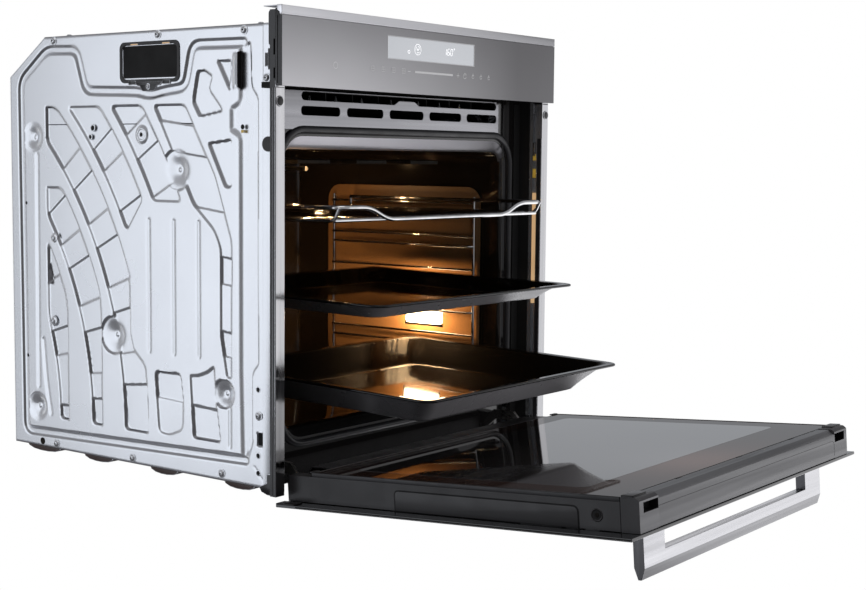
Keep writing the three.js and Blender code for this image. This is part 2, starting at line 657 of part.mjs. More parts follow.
function buildTerminalBox() {
  const slope = CHAMFER_Z / CHAMFER_Y;
  const y0 = 470;
  const y1 = 514;
  const sheetZ = (y) => BODY_TOP - (y - (BODY_REAR - CHAMFER_Y)) * slope + 2;
  const outline = polygon([[y0, sheetZ(y0)], [y1, sheetZ(y1)], [y1, sheetZ(y1) + 24], [y0, sheetZ(y0) + 6]]);
  const body = plateX(outline, 130, 206);
  const gland = bar([168, y1 - 4, sheetZ(y1) + 13], [168, y1 + 6, sheetZ(y1) + 13], 9, 16);
  const hole = bar([168, y1 - 6, sheetZ(y1) + 13], [168, y1 + 12, sheetZ(y1) + 13], 5, 12);
  return body.add(gland).subtract(hole);
}
place('terminal_box', buildTerminalBox(), darkPlastic);

// ---------------------------------------------------------------- control panel
const DISPLAY = { x0: -99, x1: 92, z0: 543.5, z1: 572.8 };

function buildFascia() {
  const y0 = PANEL_FACE;
  const glass = box(-FRONT_HALF, FRONT_HALF, y0, y0 + GLASS, PANEL_Z0, PANEL_TRIM_Z - GAP);
  const window = box(DISPLAY.x0, DISPLAY.x1, y0 - 5, y0 + 10, DISPLAY.z0, DISPLAY.z1);
  return glass.subtract(window);
}
place('control_fascia', buildFascia(), greyGlass);
place('display_window', box(DISPLAY.x0 + GAP, DISPLAY.x1 - GAP, PANEL_FACE + 0.3, PANEL_FACE + GLASS,
  DISPLAY.z0 + GAP, DISPLAY.z1 - GAP), clearGlass);

// Brushed trim along the top edge, turned back over the frame.
function buildControlTrim() {
  const y0 = PANEL_FACE;
  const outline = polygon([[y0, PANEL_TRIM_Z], [y0, PANEL_Z1], [10, PANEL_Z1], [10, PANEL_Z1 - SHEET],
    [y0 + GLASS, PANEL_Z1 - SHEET], [y0 + GLASS, PANEL_TRIM_Z]]);
  return plateX(outline, -FRONT_HALF, FRONT_HALF);
}
place('control_trim', buildControlTrim(), satinSteel);

function buildControlCarrier() {
  const y0 = PANEL_FACE + GLASS + GAP;
  const shell = box(-FRONT_HALF + 0.5, FRONT_HALF - 0.5, y0, TRIM_FACE + 0.5, PANEL_Z0 + 1, PANEL_TRIM_Z - 1)
    .add(box(-274, 274, y0, 24, PANEL_Z0 + 8, PANEL_TRIM_Z - 9.5));
  const room = box(-268, 268, y0 + 2, 40, PANEL_Z0 + 11, PANEL_TRIM_Z - 11);
  const window = box(DISPLAY.x0 - 1, DISPLAY.x1 + 1, y0 - 5, y0 + 5, DISPLAY.z0 - 1, DISPLAY.z1 + 1);
  return cut(shell, [room, window]);
}
place('control_carrier', buildControlCarrier(), darkPlastic);
place('control_board', join([
  box(-150, 150, -6, -4.4, 517, 571), box(-90, 84, -13, -5.5, 546, 570), box(-140, -110, -5, 6, 525, 550),
  box(100, 118, -5, 8, 530, 548),
]), greenBoard);

// ---------------------------------------------------------------- door switch
place('door_switch', box(-272, -252, FLANGE_Y + SHEET + GAP, 48, 461, 479)
  .subtract(bar([-262, 20, 470], [-262, 44, 470], 3.4, 12)), darkPlastic);
place('switch_plunger', bar([-262, DOOR_BACK + 0.6, 470], [-262, 40, 470], 3, 12), darkPlastic);

// ---------------------------------------------------------------- hinges: fixed side
// The arm carries the pin that the door turns on.
function buildReceiver(side) {
  const shell = sideBox(side, HINGE_X - 8, HINGE_X + 8, FLANGE_Y + SHEET + GAP, 118, 10, 39);
  const slot = sideBox(side, HINGE_X - 6, HINGE_X + 6, 0, 114, 12, 44);
  return shell.subtract(slot);
}
placePair('hinge_receiver', buildReceiver, galvanised);

function buildHingeArm(side) {
  const outline = polygon([
    [HINGE_Y - 4.6, HINGE_Z - 1.5], [HINGE_Y, HINGE_Z - 4.8], [HINGE_Y + 5, HINGE_Z - 2], [HINGE_Y + 9, HINGE_Z + 8],
    [14, 21], [40, 22], [40, 17], [58, 17], [104, 20], [104, 30], [50, 36], [10, 35], [-4, 20], [HINGE_Y - 4, HINGE_Z + 4],
  ]);
  const x = side * HINGE_X;
  const plate = plateX(outline, x - 2.5, x + 2.5);
  const pin = bar([x - 5.6, HINGE_Y, HINGE_Z], [x + 5.6, HINGE_Y, HINGE_Z], 1.8, 16);
  return plate.add(pin);
}
placePair('hinge_arm', buildHingeArm, nickel);

// ---------------------------------------------------------------- door, modelled closed and then swung open
const door = new THREE.Group();
door.position.set(0, HINGE_Y, HINGE_Z);
door.rotation.x = THREE.MathUtils.degToRad(DOOR_OPEN);
carcass.add(door);
const doorOffset = new THREE.Group();
doorOffset.position.set(0, -HINGE_Y, -HINGE_Z);
door.add(doorOffset);

function placeDoor(name, body, material) {
  return place(name, body, material, doorOffset);
}
function placeDoorPair(name, build, material) {
  placePair(name, build, material, doorOffset);
}

const DOOR_FRONT = PANEL_FACE;
const RAIL_INNER = 258;
const TOP_PROFILE_Z = 472;
const INNER_GLASS_Z0 = 42;

placeDoor('door_outer_glass', box(-FRONT_HALF, FRONT_HALF, DOOR_FRONT, DOOR_FRONT + GLASS, 0, DOOR_H), blackGlass);
placeDoor('door_inner_glass', plateY(roundedRect(-DOOR_HALF + 1, DOOR_HALF - 1, INNER_GLASS_Z0, TOP_PROFILE_Z - GAP, 3),
  DOOR_BACK - GLASS, DOOR_BACK, 3), blackGlass);
for (const [name, y] of [['door_middle_glass_front', -6], ['door_middle_glass_rear', 6]]) {
  placeDoor(name, box(-240.5, 240.5, y - 1.6, y + 1.6, 62, TOP_PROFILE_Z - 2), clearGlass);
}

// Open channel with its web on the outside.
function buildDoorRail(side) {
  const y0 = DOOR_FRONT + GLASS + GAP;
  const y1 = DOOR_BACK - GLASS - GAP;
  const shell = sideBox(side, RAIL_INNER, DOOR_HALF, y0, y1, 2, TOP_PROFILE_Z - GAP);
  const room = sideBox(side, RAIL_INNER - 5, DOOR_HALF - 1.5, y0 + 1.5, y1 - 1.5, 10, TOP_PROFILE_Z + 5);
  return shell.subtract(room);
}
placeDoorPair('door_rail', buildDoorRail, darkPlastic);

function buildGlassHolder(side) {
  const y0 = -11;
  const body = sideBox(side, 234, 242.6, y0, 11, 62, 468);
  const grooves = [-6, 6].map((y) => sideBox(side, 230, 241, y - 2, y + 2, 50, 480));
  return cut(body, grooves);
}
placeDoorPair('glass_holder', buildGlassHolder, darkPlastic);

// One pocket at each end of the door's top edge, shared by the profile and the end cap.
function topPocket(side) {
  return sideBox(side, 236, 268, 6, 18, DOOR_H - 12, DOOR_H);
}

function buildTopProfile() {
  const y0 = DOOR_FRONT + GLASS + GAP;
  const outline = polygon([
    [y0, TOP_PROFILE_Z], [DOOR_BACK, TOP_PROFILE_Z], [DOOR_BACK, DOOR_H - 10], [DOOR_BACK - 8, DOOR_H - 1.5],
    [y0, DOOR_H - 1.5],
  ]);
  const half = DOOR_HALF - 16;
  const profile = plateX(outline, -half, half);
  const channel = box(-half - 1, half + 1, y0 + 1.5, DOOR_BACK - 2, TOP_PROFILE_Z - 1, TOP_PROFILE_Z + 12);
  return cut(profile, [channel, topPocket(-1), topPocket(1)]);
}
placeDoor('door_top_profile', buildTopProfile(), satinSteel);

function buildEndCap(side) {
  const y0 = DOOR_FRONT + GLASS + GAP;
  const near = DOOR_HALF - 16 + GAP;
  const outline = polygon([[y0, TOP_PROFILE_Z], [DOOR_BACK, TOP_PROFILE_Z], [DOOR_BACK, DOOR_H - 10],
    [DOOR_BACK - 8, DOOR_H - 1.5], [y0, DOOR_H - 1.5]]);
  const x0 = side > 0 ? near : -DOOR_HALF;
  return plateX(outline, x0, x0 + DOOR_HALF - near).subtract(topPocket(side));
}
placeDoorPair('door_end_cap', buildEndCap, darkPlastic);

function buildBottomRail() {
  const y0 = DOOR_FRONT + GLASS + GAP;
  const half = 238;
  const outline = polygon([[y0, 2], [DOOR_BACK - 6, 2], [DOOR_BACK, 8], [DOOR_BACK, INNER_GLASS_Z0 - GAP],
    [DOOR_BACK - 1.5, INNER_GLASS_Z0 - GAP], [DOOR_BACK - 1.5, 9], [DOOR_BACK - 7, 3.5], [y0 + 1.5, 3.5],
    [y0 + 1.5, 40], [y0, 40]]);
  return plateX(outline, -half, half);
}
placeDoor('door_bottom_rail', buildBottomRail(), darkPlastic);

// Hinge body: two cheeks and a spring box inside the door, joined by a web at the front.
function buildHingeBody(side) {
  const cheek = polygon([[HINGE_Y - 5.2, HINGE_Z + 2.6], [HINGE_Y - 5.2, 150], [12, 150], [12, 60], [HINGE_Y + 8, HINGE_Z + 4],
    [HINGE_Y + 4, HINGE_Z - 2.6], [HINGE_Y - 4, HINGE_Z - 2.6]]);
  const slabs = [[3.2, 4.8], [-4.8, -3.2]].map(([a, b]) => {
    const x = side * HINGE_X;
    return plateX(cheek, x + a, x + b);
  });
  const x = side * HINGE_X;
  const web = box(x - 4, x + 4, HINGE_Y - 5.2, HINGE_Y - 3.6, 46, 150);
  const bore = bar([x - 9, HINGE_Y, HINGE_Z], [x + 9, HINGE_Y, HINGE_Z], 2.1, 16);
  return join([...slabs, web]).subtract(bore);
}
placeDoorPair('hinge_body', buildHingeBody, galvanised);

// Flat U-shaped handle: a chamfered bar carried by two posts.
function buildHandle() {
  const z0 = 460;
  const z1 = 473;
  const reach = DOOR_FRONT - 56;
  const back = DOOR_FRONT - 30;
  const section = polygon([[back, z0], [reach + 13, z0], [reach, z0 + 4.5], [reach, z1 - 4.5], [reach + 13, z1], [back, z1]]);
  const grip = plateX(section, -234, 234);
  const posts = [-1, 1].map((s) => sideBox(s, 187, 234, back - 1, DOOR_FRONT - 1.2, z0, z1));
  return join([grip, ...posts]);
}
placeDoor('door_handle', buildHandle(), satinSteel);

// ---------------------------------------------------------------- shelf and trays
function buildWireShelf() {
  const front = SHELF_FRONT;
  const rear = front + TRAY_DEPTH - 12;
  const high = 354;
  const low = 338;
  const half = 223;
  const bend = [[-half, rear, high], [-half, front, high], [-165, front, high], [-130, front, low], [130, front, low],
    [165, front, high], [half, front, high], [half, rear, high]];
  const parts = [rod(bend, 2.8, 8)];
  const y1 = front + 10;
  parts.push(rod([[-half, y1, low], [half, y1, low]], 2.5));
  for (const s of [-1, 1]) {
    parts.push(rod([[s * half, y1, low], [s * half, rear, low], [s * half, rear, high]], 2.5));
    parts.push(bar([s * half, y1, low], [s * half, front, high], 2.5));
  }
  parts.push(rod([[-half, rear, low], [half, rear, low]], 2.5));
  for (let i = -6; i <= 6; i += 1) {
    const x = i * 32;
    const startY = Math.abs(x) <= 130 ? front : y1;
    parts.push(bar([x, startY, low + 1.6], [x, rear, low + 1.6], 1.6));
  }
  parts.push(bar([-half + 8, (front + rear) / 2, low - 1.6], [half - 8, (front + rear) / 2, low - 1.6], 2));
  return join(parts);
}
place('wire_shelf', buildWireShelf(), chrome);

// A pressed tray: flat rim with a turned-down edge and sloping sides. Local origin: middle of the front rim.
function buildTray(depth, inset, cornerR) {
  const t = 1;
  const rim = 10;
  const outline = (w, grow, r) => ({ w, u0: -TRAY_HALF + grow, u1: TRAY_HALF - grow, v0: grow, v1: TRAY_DEPTH - grow, r });
  const rimPlate = loft([outline(-3, 0, cornerR), outline(-1, 0, cornerR), outline(0, 1, cornerR - 1)], null, 5);
  const underRim = loft([outline(-4, 1.2, cornerR - 1.2), outline(-1.2, 1.2, cornerR - 1.2)], null, 5);
  const pan = loft([outline(-depth, rim + inset, cornerR), outline(-depth * 0.88, rim + inset * 0.75, cornerR + 4),
    outline(0, rim, cornerR)], null, 5);
  const inside = loft([outline(-depth + t, rim + inset + 0.6, cornerR), outline(-depth * 0.88 + t, rim + inset * 0.75 + 0.9, cornerR + 4),
    outline(0.5, rim + 0.9, cornerR)], null, 5);
  return rimPlate.subtract(underRim).add(pan).subtract(inside);
}

function placeTray(name, front, z, slope, depth, inset) {
  const holder = new THREE.Group();
  holder.position.set(0, front, z);
  holder.rotation.x = Math.atan(slope);
  carcass.add(holder);
  place(name, buildTray(depth, inset, 18), blackEnamel, holder);
}
placeTray('upper_tray', UPPER_FRONT, 238, 0.018, 20, 26);
placeTray('lower_tray', LOWER_FRONT, 129.5, 0.03, 36, 34);

export default oven;
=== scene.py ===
import json
import math

import bmesh
import bpy
import numpy as np
from mathutils import Matrix, Vector

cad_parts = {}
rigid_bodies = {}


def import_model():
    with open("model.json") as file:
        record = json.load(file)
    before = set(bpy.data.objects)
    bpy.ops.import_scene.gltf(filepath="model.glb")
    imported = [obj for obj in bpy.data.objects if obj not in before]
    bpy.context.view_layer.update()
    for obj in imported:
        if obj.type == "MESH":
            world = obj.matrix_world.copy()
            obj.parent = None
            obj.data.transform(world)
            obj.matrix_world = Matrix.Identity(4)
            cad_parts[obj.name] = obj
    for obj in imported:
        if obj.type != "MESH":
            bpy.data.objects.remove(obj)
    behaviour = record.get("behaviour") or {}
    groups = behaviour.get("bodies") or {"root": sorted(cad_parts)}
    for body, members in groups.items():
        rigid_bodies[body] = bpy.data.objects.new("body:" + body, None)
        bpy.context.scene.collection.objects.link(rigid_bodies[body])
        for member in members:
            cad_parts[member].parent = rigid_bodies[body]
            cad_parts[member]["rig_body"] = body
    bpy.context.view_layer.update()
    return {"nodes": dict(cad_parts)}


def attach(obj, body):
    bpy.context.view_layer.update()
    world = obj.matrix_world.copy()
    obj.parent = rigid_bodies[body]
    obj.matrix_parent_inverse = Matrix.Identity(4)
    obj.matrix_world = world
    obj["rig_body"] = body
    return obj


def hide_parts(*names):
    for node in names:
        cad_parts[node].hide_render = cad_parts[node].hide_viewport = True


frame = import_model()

SEAT_Y = 260.0                 # the origin lies this far behind the cabinet face
MM = 0.001
SIDE_X = 279.0                 # outer face of the side panels
BODY_TOP = 577.0
BODY_FRONT, BODY_REAR = 3.0, 521.0
CHAMFER_Y = 77.0
CHAMFER_Z = 53.0
PAN_Z = 4.0
FLANGE_Y = 28.0                # front face of the enamelled frame
PANEL_FACE = -20.0
FRONT_HALF = 297.5
HINGE_Y, HINGE_Z = -9.6, 0.4
DOOR_OPEN = math.radians(85.6)


def place(x, y, z):
    return Vector((x, y - SEAT_Y, z)) * MM


def place_door(x, y, z):
    """A point of the closed door, carried round the hinge to its rest pose."""
    dy, dz = y - HINGE_Y, z - HINGE_Z
    c, s = math.cos(DOOR_OPEN), math.sin(DOOR_OPEN)
    return place(x, HINGE_Y + dy * c - dz * s, HINGE_Z + dy * s + dz * c)


# ---------------------------------------------------------------- camera
CAMERA_AT = (-1604.2, -1238.9, 414.8)
CAMERA_YAW, CAMERA_PITCH, CAMERA_ROLL = 0.92175, -0.09105, 0.00974
CAMERA_LENS = 61.87            # mm on a 36 mm sensor


def make_camera():
    cp, sp = math.cos(CAMERA_PITCH), math.sin(CAMERA_PITCH)
    cy, sy = math.cos(CAMERA_YAW), math.sin(CAMERA_YAW)
    forward = Vector((sy * cp, cy * cp, sp))
    right = Vector((cy, -sy, 0))
    up = right.cross(forward)
    cr, sr = math.cos(CAMERA_ROLL), math.sin(CAMERA_ROLL)
    right, up = right * cr + up * sr, up * cr - right * sr
    data = bpy.data.cameras.new("camera")
    data.lens = CAMERA_LENS
    data.sensor_width = 36
    camera = bpy.data.objects.new("camera", data)
    turn = Matrix((right, up, -forward)).transposed().to_4x4()
    camera.matrix_world = Matrix.Translation(place(*CAMERA_AT)) @ turn
    bpy.context.scene.collection.objects.link(camera)
    bpy.context.scene.camera = camera


make_camera()


# ---------------------------------------------------------------- materials
class Shader:
    """A Principled material with helpers for procedural detail in object coordinates."""

    def __init__(self, name, color, metallic=0.0, roughness=0.4, **sockets):
        self.material = bpy.data.materials.new(name)
        self.material.use_nodes = True
        self.nodes = self.material.node_tree.nodes
        self.links = self.material.node_tree.links
        self.bsdf = self.nodes["Principled BSDF"]
        self.color = (*color, 1)
        self.set("Base Color", self.color)
        self.set("Metallic", metallic)
        self.set("Roughness", roughness)
        for key, value in sockets.items():
            self.set(key.replace("_", " "), value)
        self.coords = self.nodes.new("ShaderNodeTexCoord").outputs["Object"]

    def set(self, socket, value):
        self.bsdf.inputs[socket].default_value = value

    def node(self, kind, **inputs):
        """A new node whose inputs are given as values, or as the sockets to link to them."""
        node = self.nodes.new("ShaderNode" + kind)
        for key, value in inputs.items():
            target = node.inputs[key.replace("_", " ")]
            if isinstance(value, bpy.types.NodeSocket):
                self.links.new(value, target)
            else:
                target.default_value = value
        return node

    def stretched(self, scale=(1, 1, 1)):
        return self.node("Mapping", Scale=scale, Vector=self.coords).outputs["Vector"]

    def noise(self, scale, detail=3.0, stretch=(1, 1, 1)):
        node = self.node("TexNoise", Scale=scale, Detail=detail, Vector=self.stretched(stretch))
        return node.outputs["Fac"]

    def cells(self, scale):
        node = self.node("TexVoronoi", Scale=scale, Vector=self.stretched())
        return self.node("SeparateColor", Color=node.outputs["Color"]).outputs["Red"]

    def along(self, axis, start, end):
        """Runs from 0 to 1 between two coordinates on one axis."""
        split = self.node("SeparateXYZ", Vector=self.coords)
        return self.span(split.outputs[axis], 0, 1, start, end)

    def span(self, value, low, high, start=0.3, end=0.7):
        node = self.node("MapRange", Value=value, From_Min=start, From_Max=end, To_Min=low, To_Max=high)
        return node.outputs["Result"]

    def tint(self, value, other, start=0.3, end=0.7):
        """Base colour runs from its own colour to another one with a value."""
        mix = self.nodes.new("ShaderNodeMix")
        mix.data_type = "RGBA"
        self.links.new(self.span(value, 0, 1, start, end), mix.inputs["Factor"])
        current = self.bsdf.inputs["Base Color"]
        if current.is_linked:
            self.links.new(current.links[0].from_socket, mix.inputs["A"])
        else:
            mix.inputs["A"].default_value = self.color
        mix.inputs["B"].default_value = (*other, 1)
        self.links.new(mix.outputs["Result"], current)
        return self

    def rough(self, value, low, high):
        self.links.new(self.span(value, low, high), self.bsdf.inputs["Roughness"])
        return self

    def bump(self, value, distance, strength):
        node = self.node("Bump", Distance=distance, Strength=strength, Height=value)
        self.links.new(node.outputs["Normal"], self.bsdf.inputs["Normal"])
        return self


def galvanised(name="galvanised_steel", color=(0.80, 0.82, 0.85), pressed=False):
    s = Shader(name, color, metallic=0.92, roughness=0.27)
    s.tint(s.cells(140), tuple(c * 0.985 for c in color), 0.0, 1.0)
    s.tint(s.noise(7, 2), tuple(c * 0.97 for c in color))
    s.rough(s.noise(12, 2), 0.25, 0.28)
    if pressed:    # painted shade: the steep walls of the pressing are drawn darker than its flats, to outline the relief
        normal = s.node("NewGeometry").outputs["Normal"]
        wall_shade_mask = s.node("Math")
        wall_shade_mask.operation = "ABSOLUTE"
        s.links.new(s.node("SeparateXYZ", Vector=normal).outputs["X"], wall_shade_mask.inputs[0])
        s.tint(wall_shade_mask.outputs["Value"], (0.33, 0.33, 0.35), 0.93, 0.66)
    return s


def brushed(name, color, stretch, roughness=0.26, right=None):
    s = Shader(name, color, metallic=1.0, roughness=roughness, Anisotropic=0.55)
    # right: a colour the steel is drawn towards along x, a painted shade that darkens it to the right
    if right:
        s.tint(s.along("X", -0.3, 0.3), right, 0, 1)
    grain = s.noise(70, 5, stretch)
    s.tint(grain, tuple(c * 0.86 for c in color), 0.3, 1.2 if right else 0.7)
    s.rough(grain, roughness - 0.05, roughness + 0.07)
    return s.bump(grain, 0.00006, 0.4)


def surface(name, color, roughness, tint=None, rough=None, bump=None, **sockets):
    """A finish from three noises, each given by its scale and detail and then what it drives: tint runs
    to another colour between two values, rough between two roughnesses, bump has a distance and strength."""
    s = Shader(name, color, roughness=roughness, **sockets)
    if tint:
        s.tint(s.noise(*tint[:2]), *tint[2:])
    if rough:
        s.rough(s.noise(*rough[:2]), *rough[2:])
    if bump:
        s.bump(s.noise(*bump[:2]), *bump[2:])
    return s


def enamel(name, color, roughness=0.07, fleck=(0.03, 0.028, 0.028), ior=1.6):
    return surface(name, color, roughness, (900, 2, fleck, 0.66, 0.74),
                   (14, 4, roughness * 0.75, roughness * 1.5), (45, 2, 0.00012, 0.18), IOR=ior)


def plastic(name, color, roughness=0.42):
    return surface(name, color, roughness, (12, 3, tuple(c * 1.35 + 0.002 for c in color)),
                   (25, 4, roughness - 0.06, roughness + 0.08), (1500, 2, 0.00005, 0.5))


def glass(name, color, roughness, rough, ior, coat=0.0):
    return surface(name, color, roughness, rough=rough, IOR=ior, Coat_Weight=coat)


def lit(name, color, roughness, rough, glow, strength):
    return surface(name, color, roughness, rough=rough, Emission_Color=(*glow, 1), Emission_Strength=strength)


# Grain of a brushed surface: stretched along x, or along z.
GRAIN_X, GRAIN_Z = (0.03, 1.6, 1.6), (1.6, 1.6, 0.03)
WHITE = (1.0, 1.0, 1.0)
# Where the painted shade runs, in metres along an axis: the brushed and enamelled fronts are painted darker
# to the right, the fascia and the glowing label darker towards their top.
FASCIA_SHADE_X, FASCIA_SHADE_Z, LIP_SHADE_X, LABEL_Z = (-0.3, 0.2), (0.49, 0.59), (-0.24, 0.24), (0.2, 0.36)


def make_materials():
    # painted highlight: the black enamel of the flare is drawn light grey, darker to the right, for the
    # bright band it mirrors
    lip = Shader("cavity_lip_painted_highlight", (0.50, 0.49, 0.52), metallic=0.6, roughness=0.3)
    lip.tint(lip.along("X", *LIP_SHADE_X), (0.12, 0.118, 0.125), 0, 1).rough(lip.noise(14, 2), 0.27, 0.32)
    # painted shade: the fascia's front is drawn light grey at its left, darker to the right and towards its
    # top
    fascia = Shader("control_glass_painted_shade", (0.63, 0.625, 0.645), metallic=0.9, roughness=0.3)
    fascia.tint(fascia.along("X", *FASCIA_SHADE_X), (0.142, 0.14, 0.145), 0, 1)
    fascia.tint(fascia.along("Z", *FASCIA_SHADE_Z), (0.12, 0.118, 0.123), 0, 1.9)
    fascia.rough(fascia.noise(9, 2), 0.28, 0.32)
    display = Shader("display_lens", (0.50, 0.51, 0.53), metallic=0.3, roughness=0.2,
                     Emission_Color=(0.8, 0.85, 0.9, 1), Emission_Strength=0.22)
    display.tint(display.noise(10, 2), (0.47, 0.48, 0.5))
    # painted light: the label's warm colour and glow stand in for the cavity lamp's light falling on it; it
    # is darker towards its top
    warm_glow_label = lit("label_painted_glow", (0.62, 0.48, 0.3), 0.5, None, (1.0, 0.62, 0.3), 0.35)
    warm_glow_label.tint(warm_glow_label.along("Z", *LABEL_Z), (0.5, 0.35, 0.2), 0, 1)
    board = Shader("circuit_board", (0.02, 0.13, 0.05), roughness=0.4)
    board.tint(board.cells(300), (0.03, 0.2, 0.08), 0.2, 0.9).bump(board.cells(300), 0.0003, 1.0)
    grey = (0.62, 0.62, 0.62)
    return {
        "galv": galvanised(),
        # panel steel with painted shade on the steep walls of its pressing
        "pressed": galvanised("pressed_panel_wall_shade", pressed=True),
        "galv_cover": galvanised("galvanised_cover", (0.6, 0.62, 0.66)),
        "satin_x": brushed("satin_steel_along_x", (0.62, 0.62, 0.64), GRAIN_X),
        "trim": brushed("trim_steel", (0.56, 0.56, 0.575), GRAIN_Z, 0.13),
        "vent": brushed("vent_plate_steel", (0.36, 0.36, 0.38), GRAIN_X, 0.28),
        "handle": brushed("handle_steel", (0.70, 0.70, 0.72), GRAIN_X, 0.24),
        # painted shade: darker copies of the handle steel for its end faces and its lower faces
        "handle_end_shade": brushed("handle_end_painted_shade", (0.15, 0.15, 0.155), GRAIN_Z, 0.3),
        "handle_underside_shade": brushed("handle_underside_painted_shade", (0.22, 0.22, 0.225), GRAIN_X, 0.3),
        "profile": brushed("end_profile_grey", (0.20, 0.20, 0.205), GRAIN_X, 0.36),
        # painted light and shade: the panel's top strip is bright at its left and near black at its right
        "panel_trim": brushed("panel_trim_painted_shade", (0.90, 0.90, 0.93), GRAIN_X, 0.30, (0.11, 0.11, 0.115)),
        "enamel": enamel("black_enamel", (0.007, 0.0065, 0.0065), 0.05),
        "enamel_tray": enamel("tray_enamel", (0.0018, 0.0016, 0.0014), 0.06, (0.006, 0.005, 0.004), 1.42),
        # painted shade: a copy of the tray enamel with a weaker reflection and a darker base, for the inner
        # walls
        "tray_wall_painted_shade": enamel("tray_wall_enamel_painted_shade", (0.0015, 0.0013, 0.0011), 0.10,
                              (0.005, 0.004, 0.003), 1.12),
        # painted light: the trays' outside is the same black enamel, drawn mid grey for the light it catches
        "tray_outer_painted_light": enamel("tray_outer_enamel_painted_light", (0.11, 0.108, 0.113), 0.26, (0.13, 0.128, 0.132), 1.36),
        "enamel_cavity": enamel("cavity_enamel", (0.008, 0.006, 0.0045), 0.06, (0.02, 0.015, 0.01)),
        "cavity_lip_highlight": lip,
        "liner": surface("liner_enamel", (0.13, 0.07, 0.03), 0.36, (600, 2, (0.08, 0.045, 0.02), 0.5, 0.7),
                         (60, 3, 0.34, 0.5), (1200, 2, 0.0001, 0.5)),
        "chrome": surface("chrome_wire", (0.80, 0.80, 0.81), 0.09, (50, 3, grey), (80, 3, 0.05, 0.16),
                          Metallic=1.0),
        "nickel": surface("nickel_steel", (0.5, 0.49, 0.46), 0.3, (60, 4, (0.38, 0.37, 0.35)),
                          (90, 3, 0.24, 0.38), Metallic=1.0),
        "screw": surface("screw_zinc", (0.72, 0.73, 0.75), 0.22, (400, 3, (0.5, 0.51, 0.53)),
                         (300, 3, 0.16, 0.3), Metallic=1.0),
        "heater": surface("heater_steel", (0.010, 0.009, 0.008), 0.6, (70, 4, (0.028, 0.024, 0.02)),
                          (200, 3, 0.32, 0.55), IOR=1.12),
        "rubber": surface("seal_rubber", (0.018, 0.018, 0.02), 0.38, None, (40, 3, 0.3, 0.46),
                          (900, 2, 0.00008, 0.6)),
        "wool": surface("mineral_wool", (0.55, 0.47, 0.27), 0.95, (120, 6, (0.38, 0.31, 0.16)), None,
                        (350, 6, 0.001, 1.0)),
        "board": board,
        "black_glass": glass("door_black_glass", (0.006, 0.006, 0.007), 0.03, (6, 3, 0.015, 0.05), 1.52, 0.5),
        # the glass is dark; the warm brown added to it stands in for the cavity's golden light: painted light
        "inner_glass": glass("door_inner_glass", (0.016, 0.009, 0.007), 0.02, (5, 3, 0.012, 0.04), 1.22),
        "window": glass("inner_window", (0.010, 0.009, 0.009), 0.02, (5, 3, 0.01, 0.035), 1.7, 0.6),
        "fascia": fascia,
        "display": display,
        "symbol": lit("lit_symbols", (0.9, 0.9, 0.9), 0.4, (60, 2, 0.35, 0.45), WHITE, 0.75),
        "icon": lit("printed_symbols", (0.4, 0.4, 0.41), 0.5, (60, 2, 0.35, 0.45), WHITE, 0.2),
        "lamp": lit("lamp_glass", (1.0, 0.95, 0.85), 0.15, (60, 2, 0.1, 0.2), (1.0, 0.80, 0.52), 7.0),
        "warm_glow_label": warm_glow_label,
        "plastic": plastic("dark_plastic", (0.012, 0.012, 0.013)),
        "gloss_plastic": plastic("gloss_plastic", (0.008, 0.008, 0.009), 0.16),
        "foot": plastic("runner_enamel", (0.045, 0.024, 0.02), 0.35),
        "seam": plastic("end_seam", (0.02, 0.02, 0.022), 0.5),
        "door_side": plastic("door_side_black", (0.014, 0.013, 0.014), 0.34),
        # painted shade: near black put into holes, gaps, slots and recesses where there is only shade
        "hole": plastic("painted_shade_black", (0.004, 0.004, 0.004), 0.8),
        "brass": plastic("yellow_tab", (0.75, 0.5, 0.08), 0.35),
    }


MAT = {key: shader.material for key, shader in make_materials().items()}


# ---------------------------------------------------------------- mesh helpers
def word(side):
    return "left" if side < 0 else "right"


def publish(obj, body, node=None):
    """Links an object, lets it ride a body and says which CAD node it stands for."""
    bpy.context.scene.collection.objects.link(obj)
    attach(obj, body)
    if node:
        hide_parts(node)
    return obj


def publish_mesh(name, mesh, body, angle, node=None):
    mesh.shade_smooth()
    mesh.set_sharp_from_angle(angle=math.radians(angle))
    return publish(bpy.data.objects.new(name, mesh), body, node)


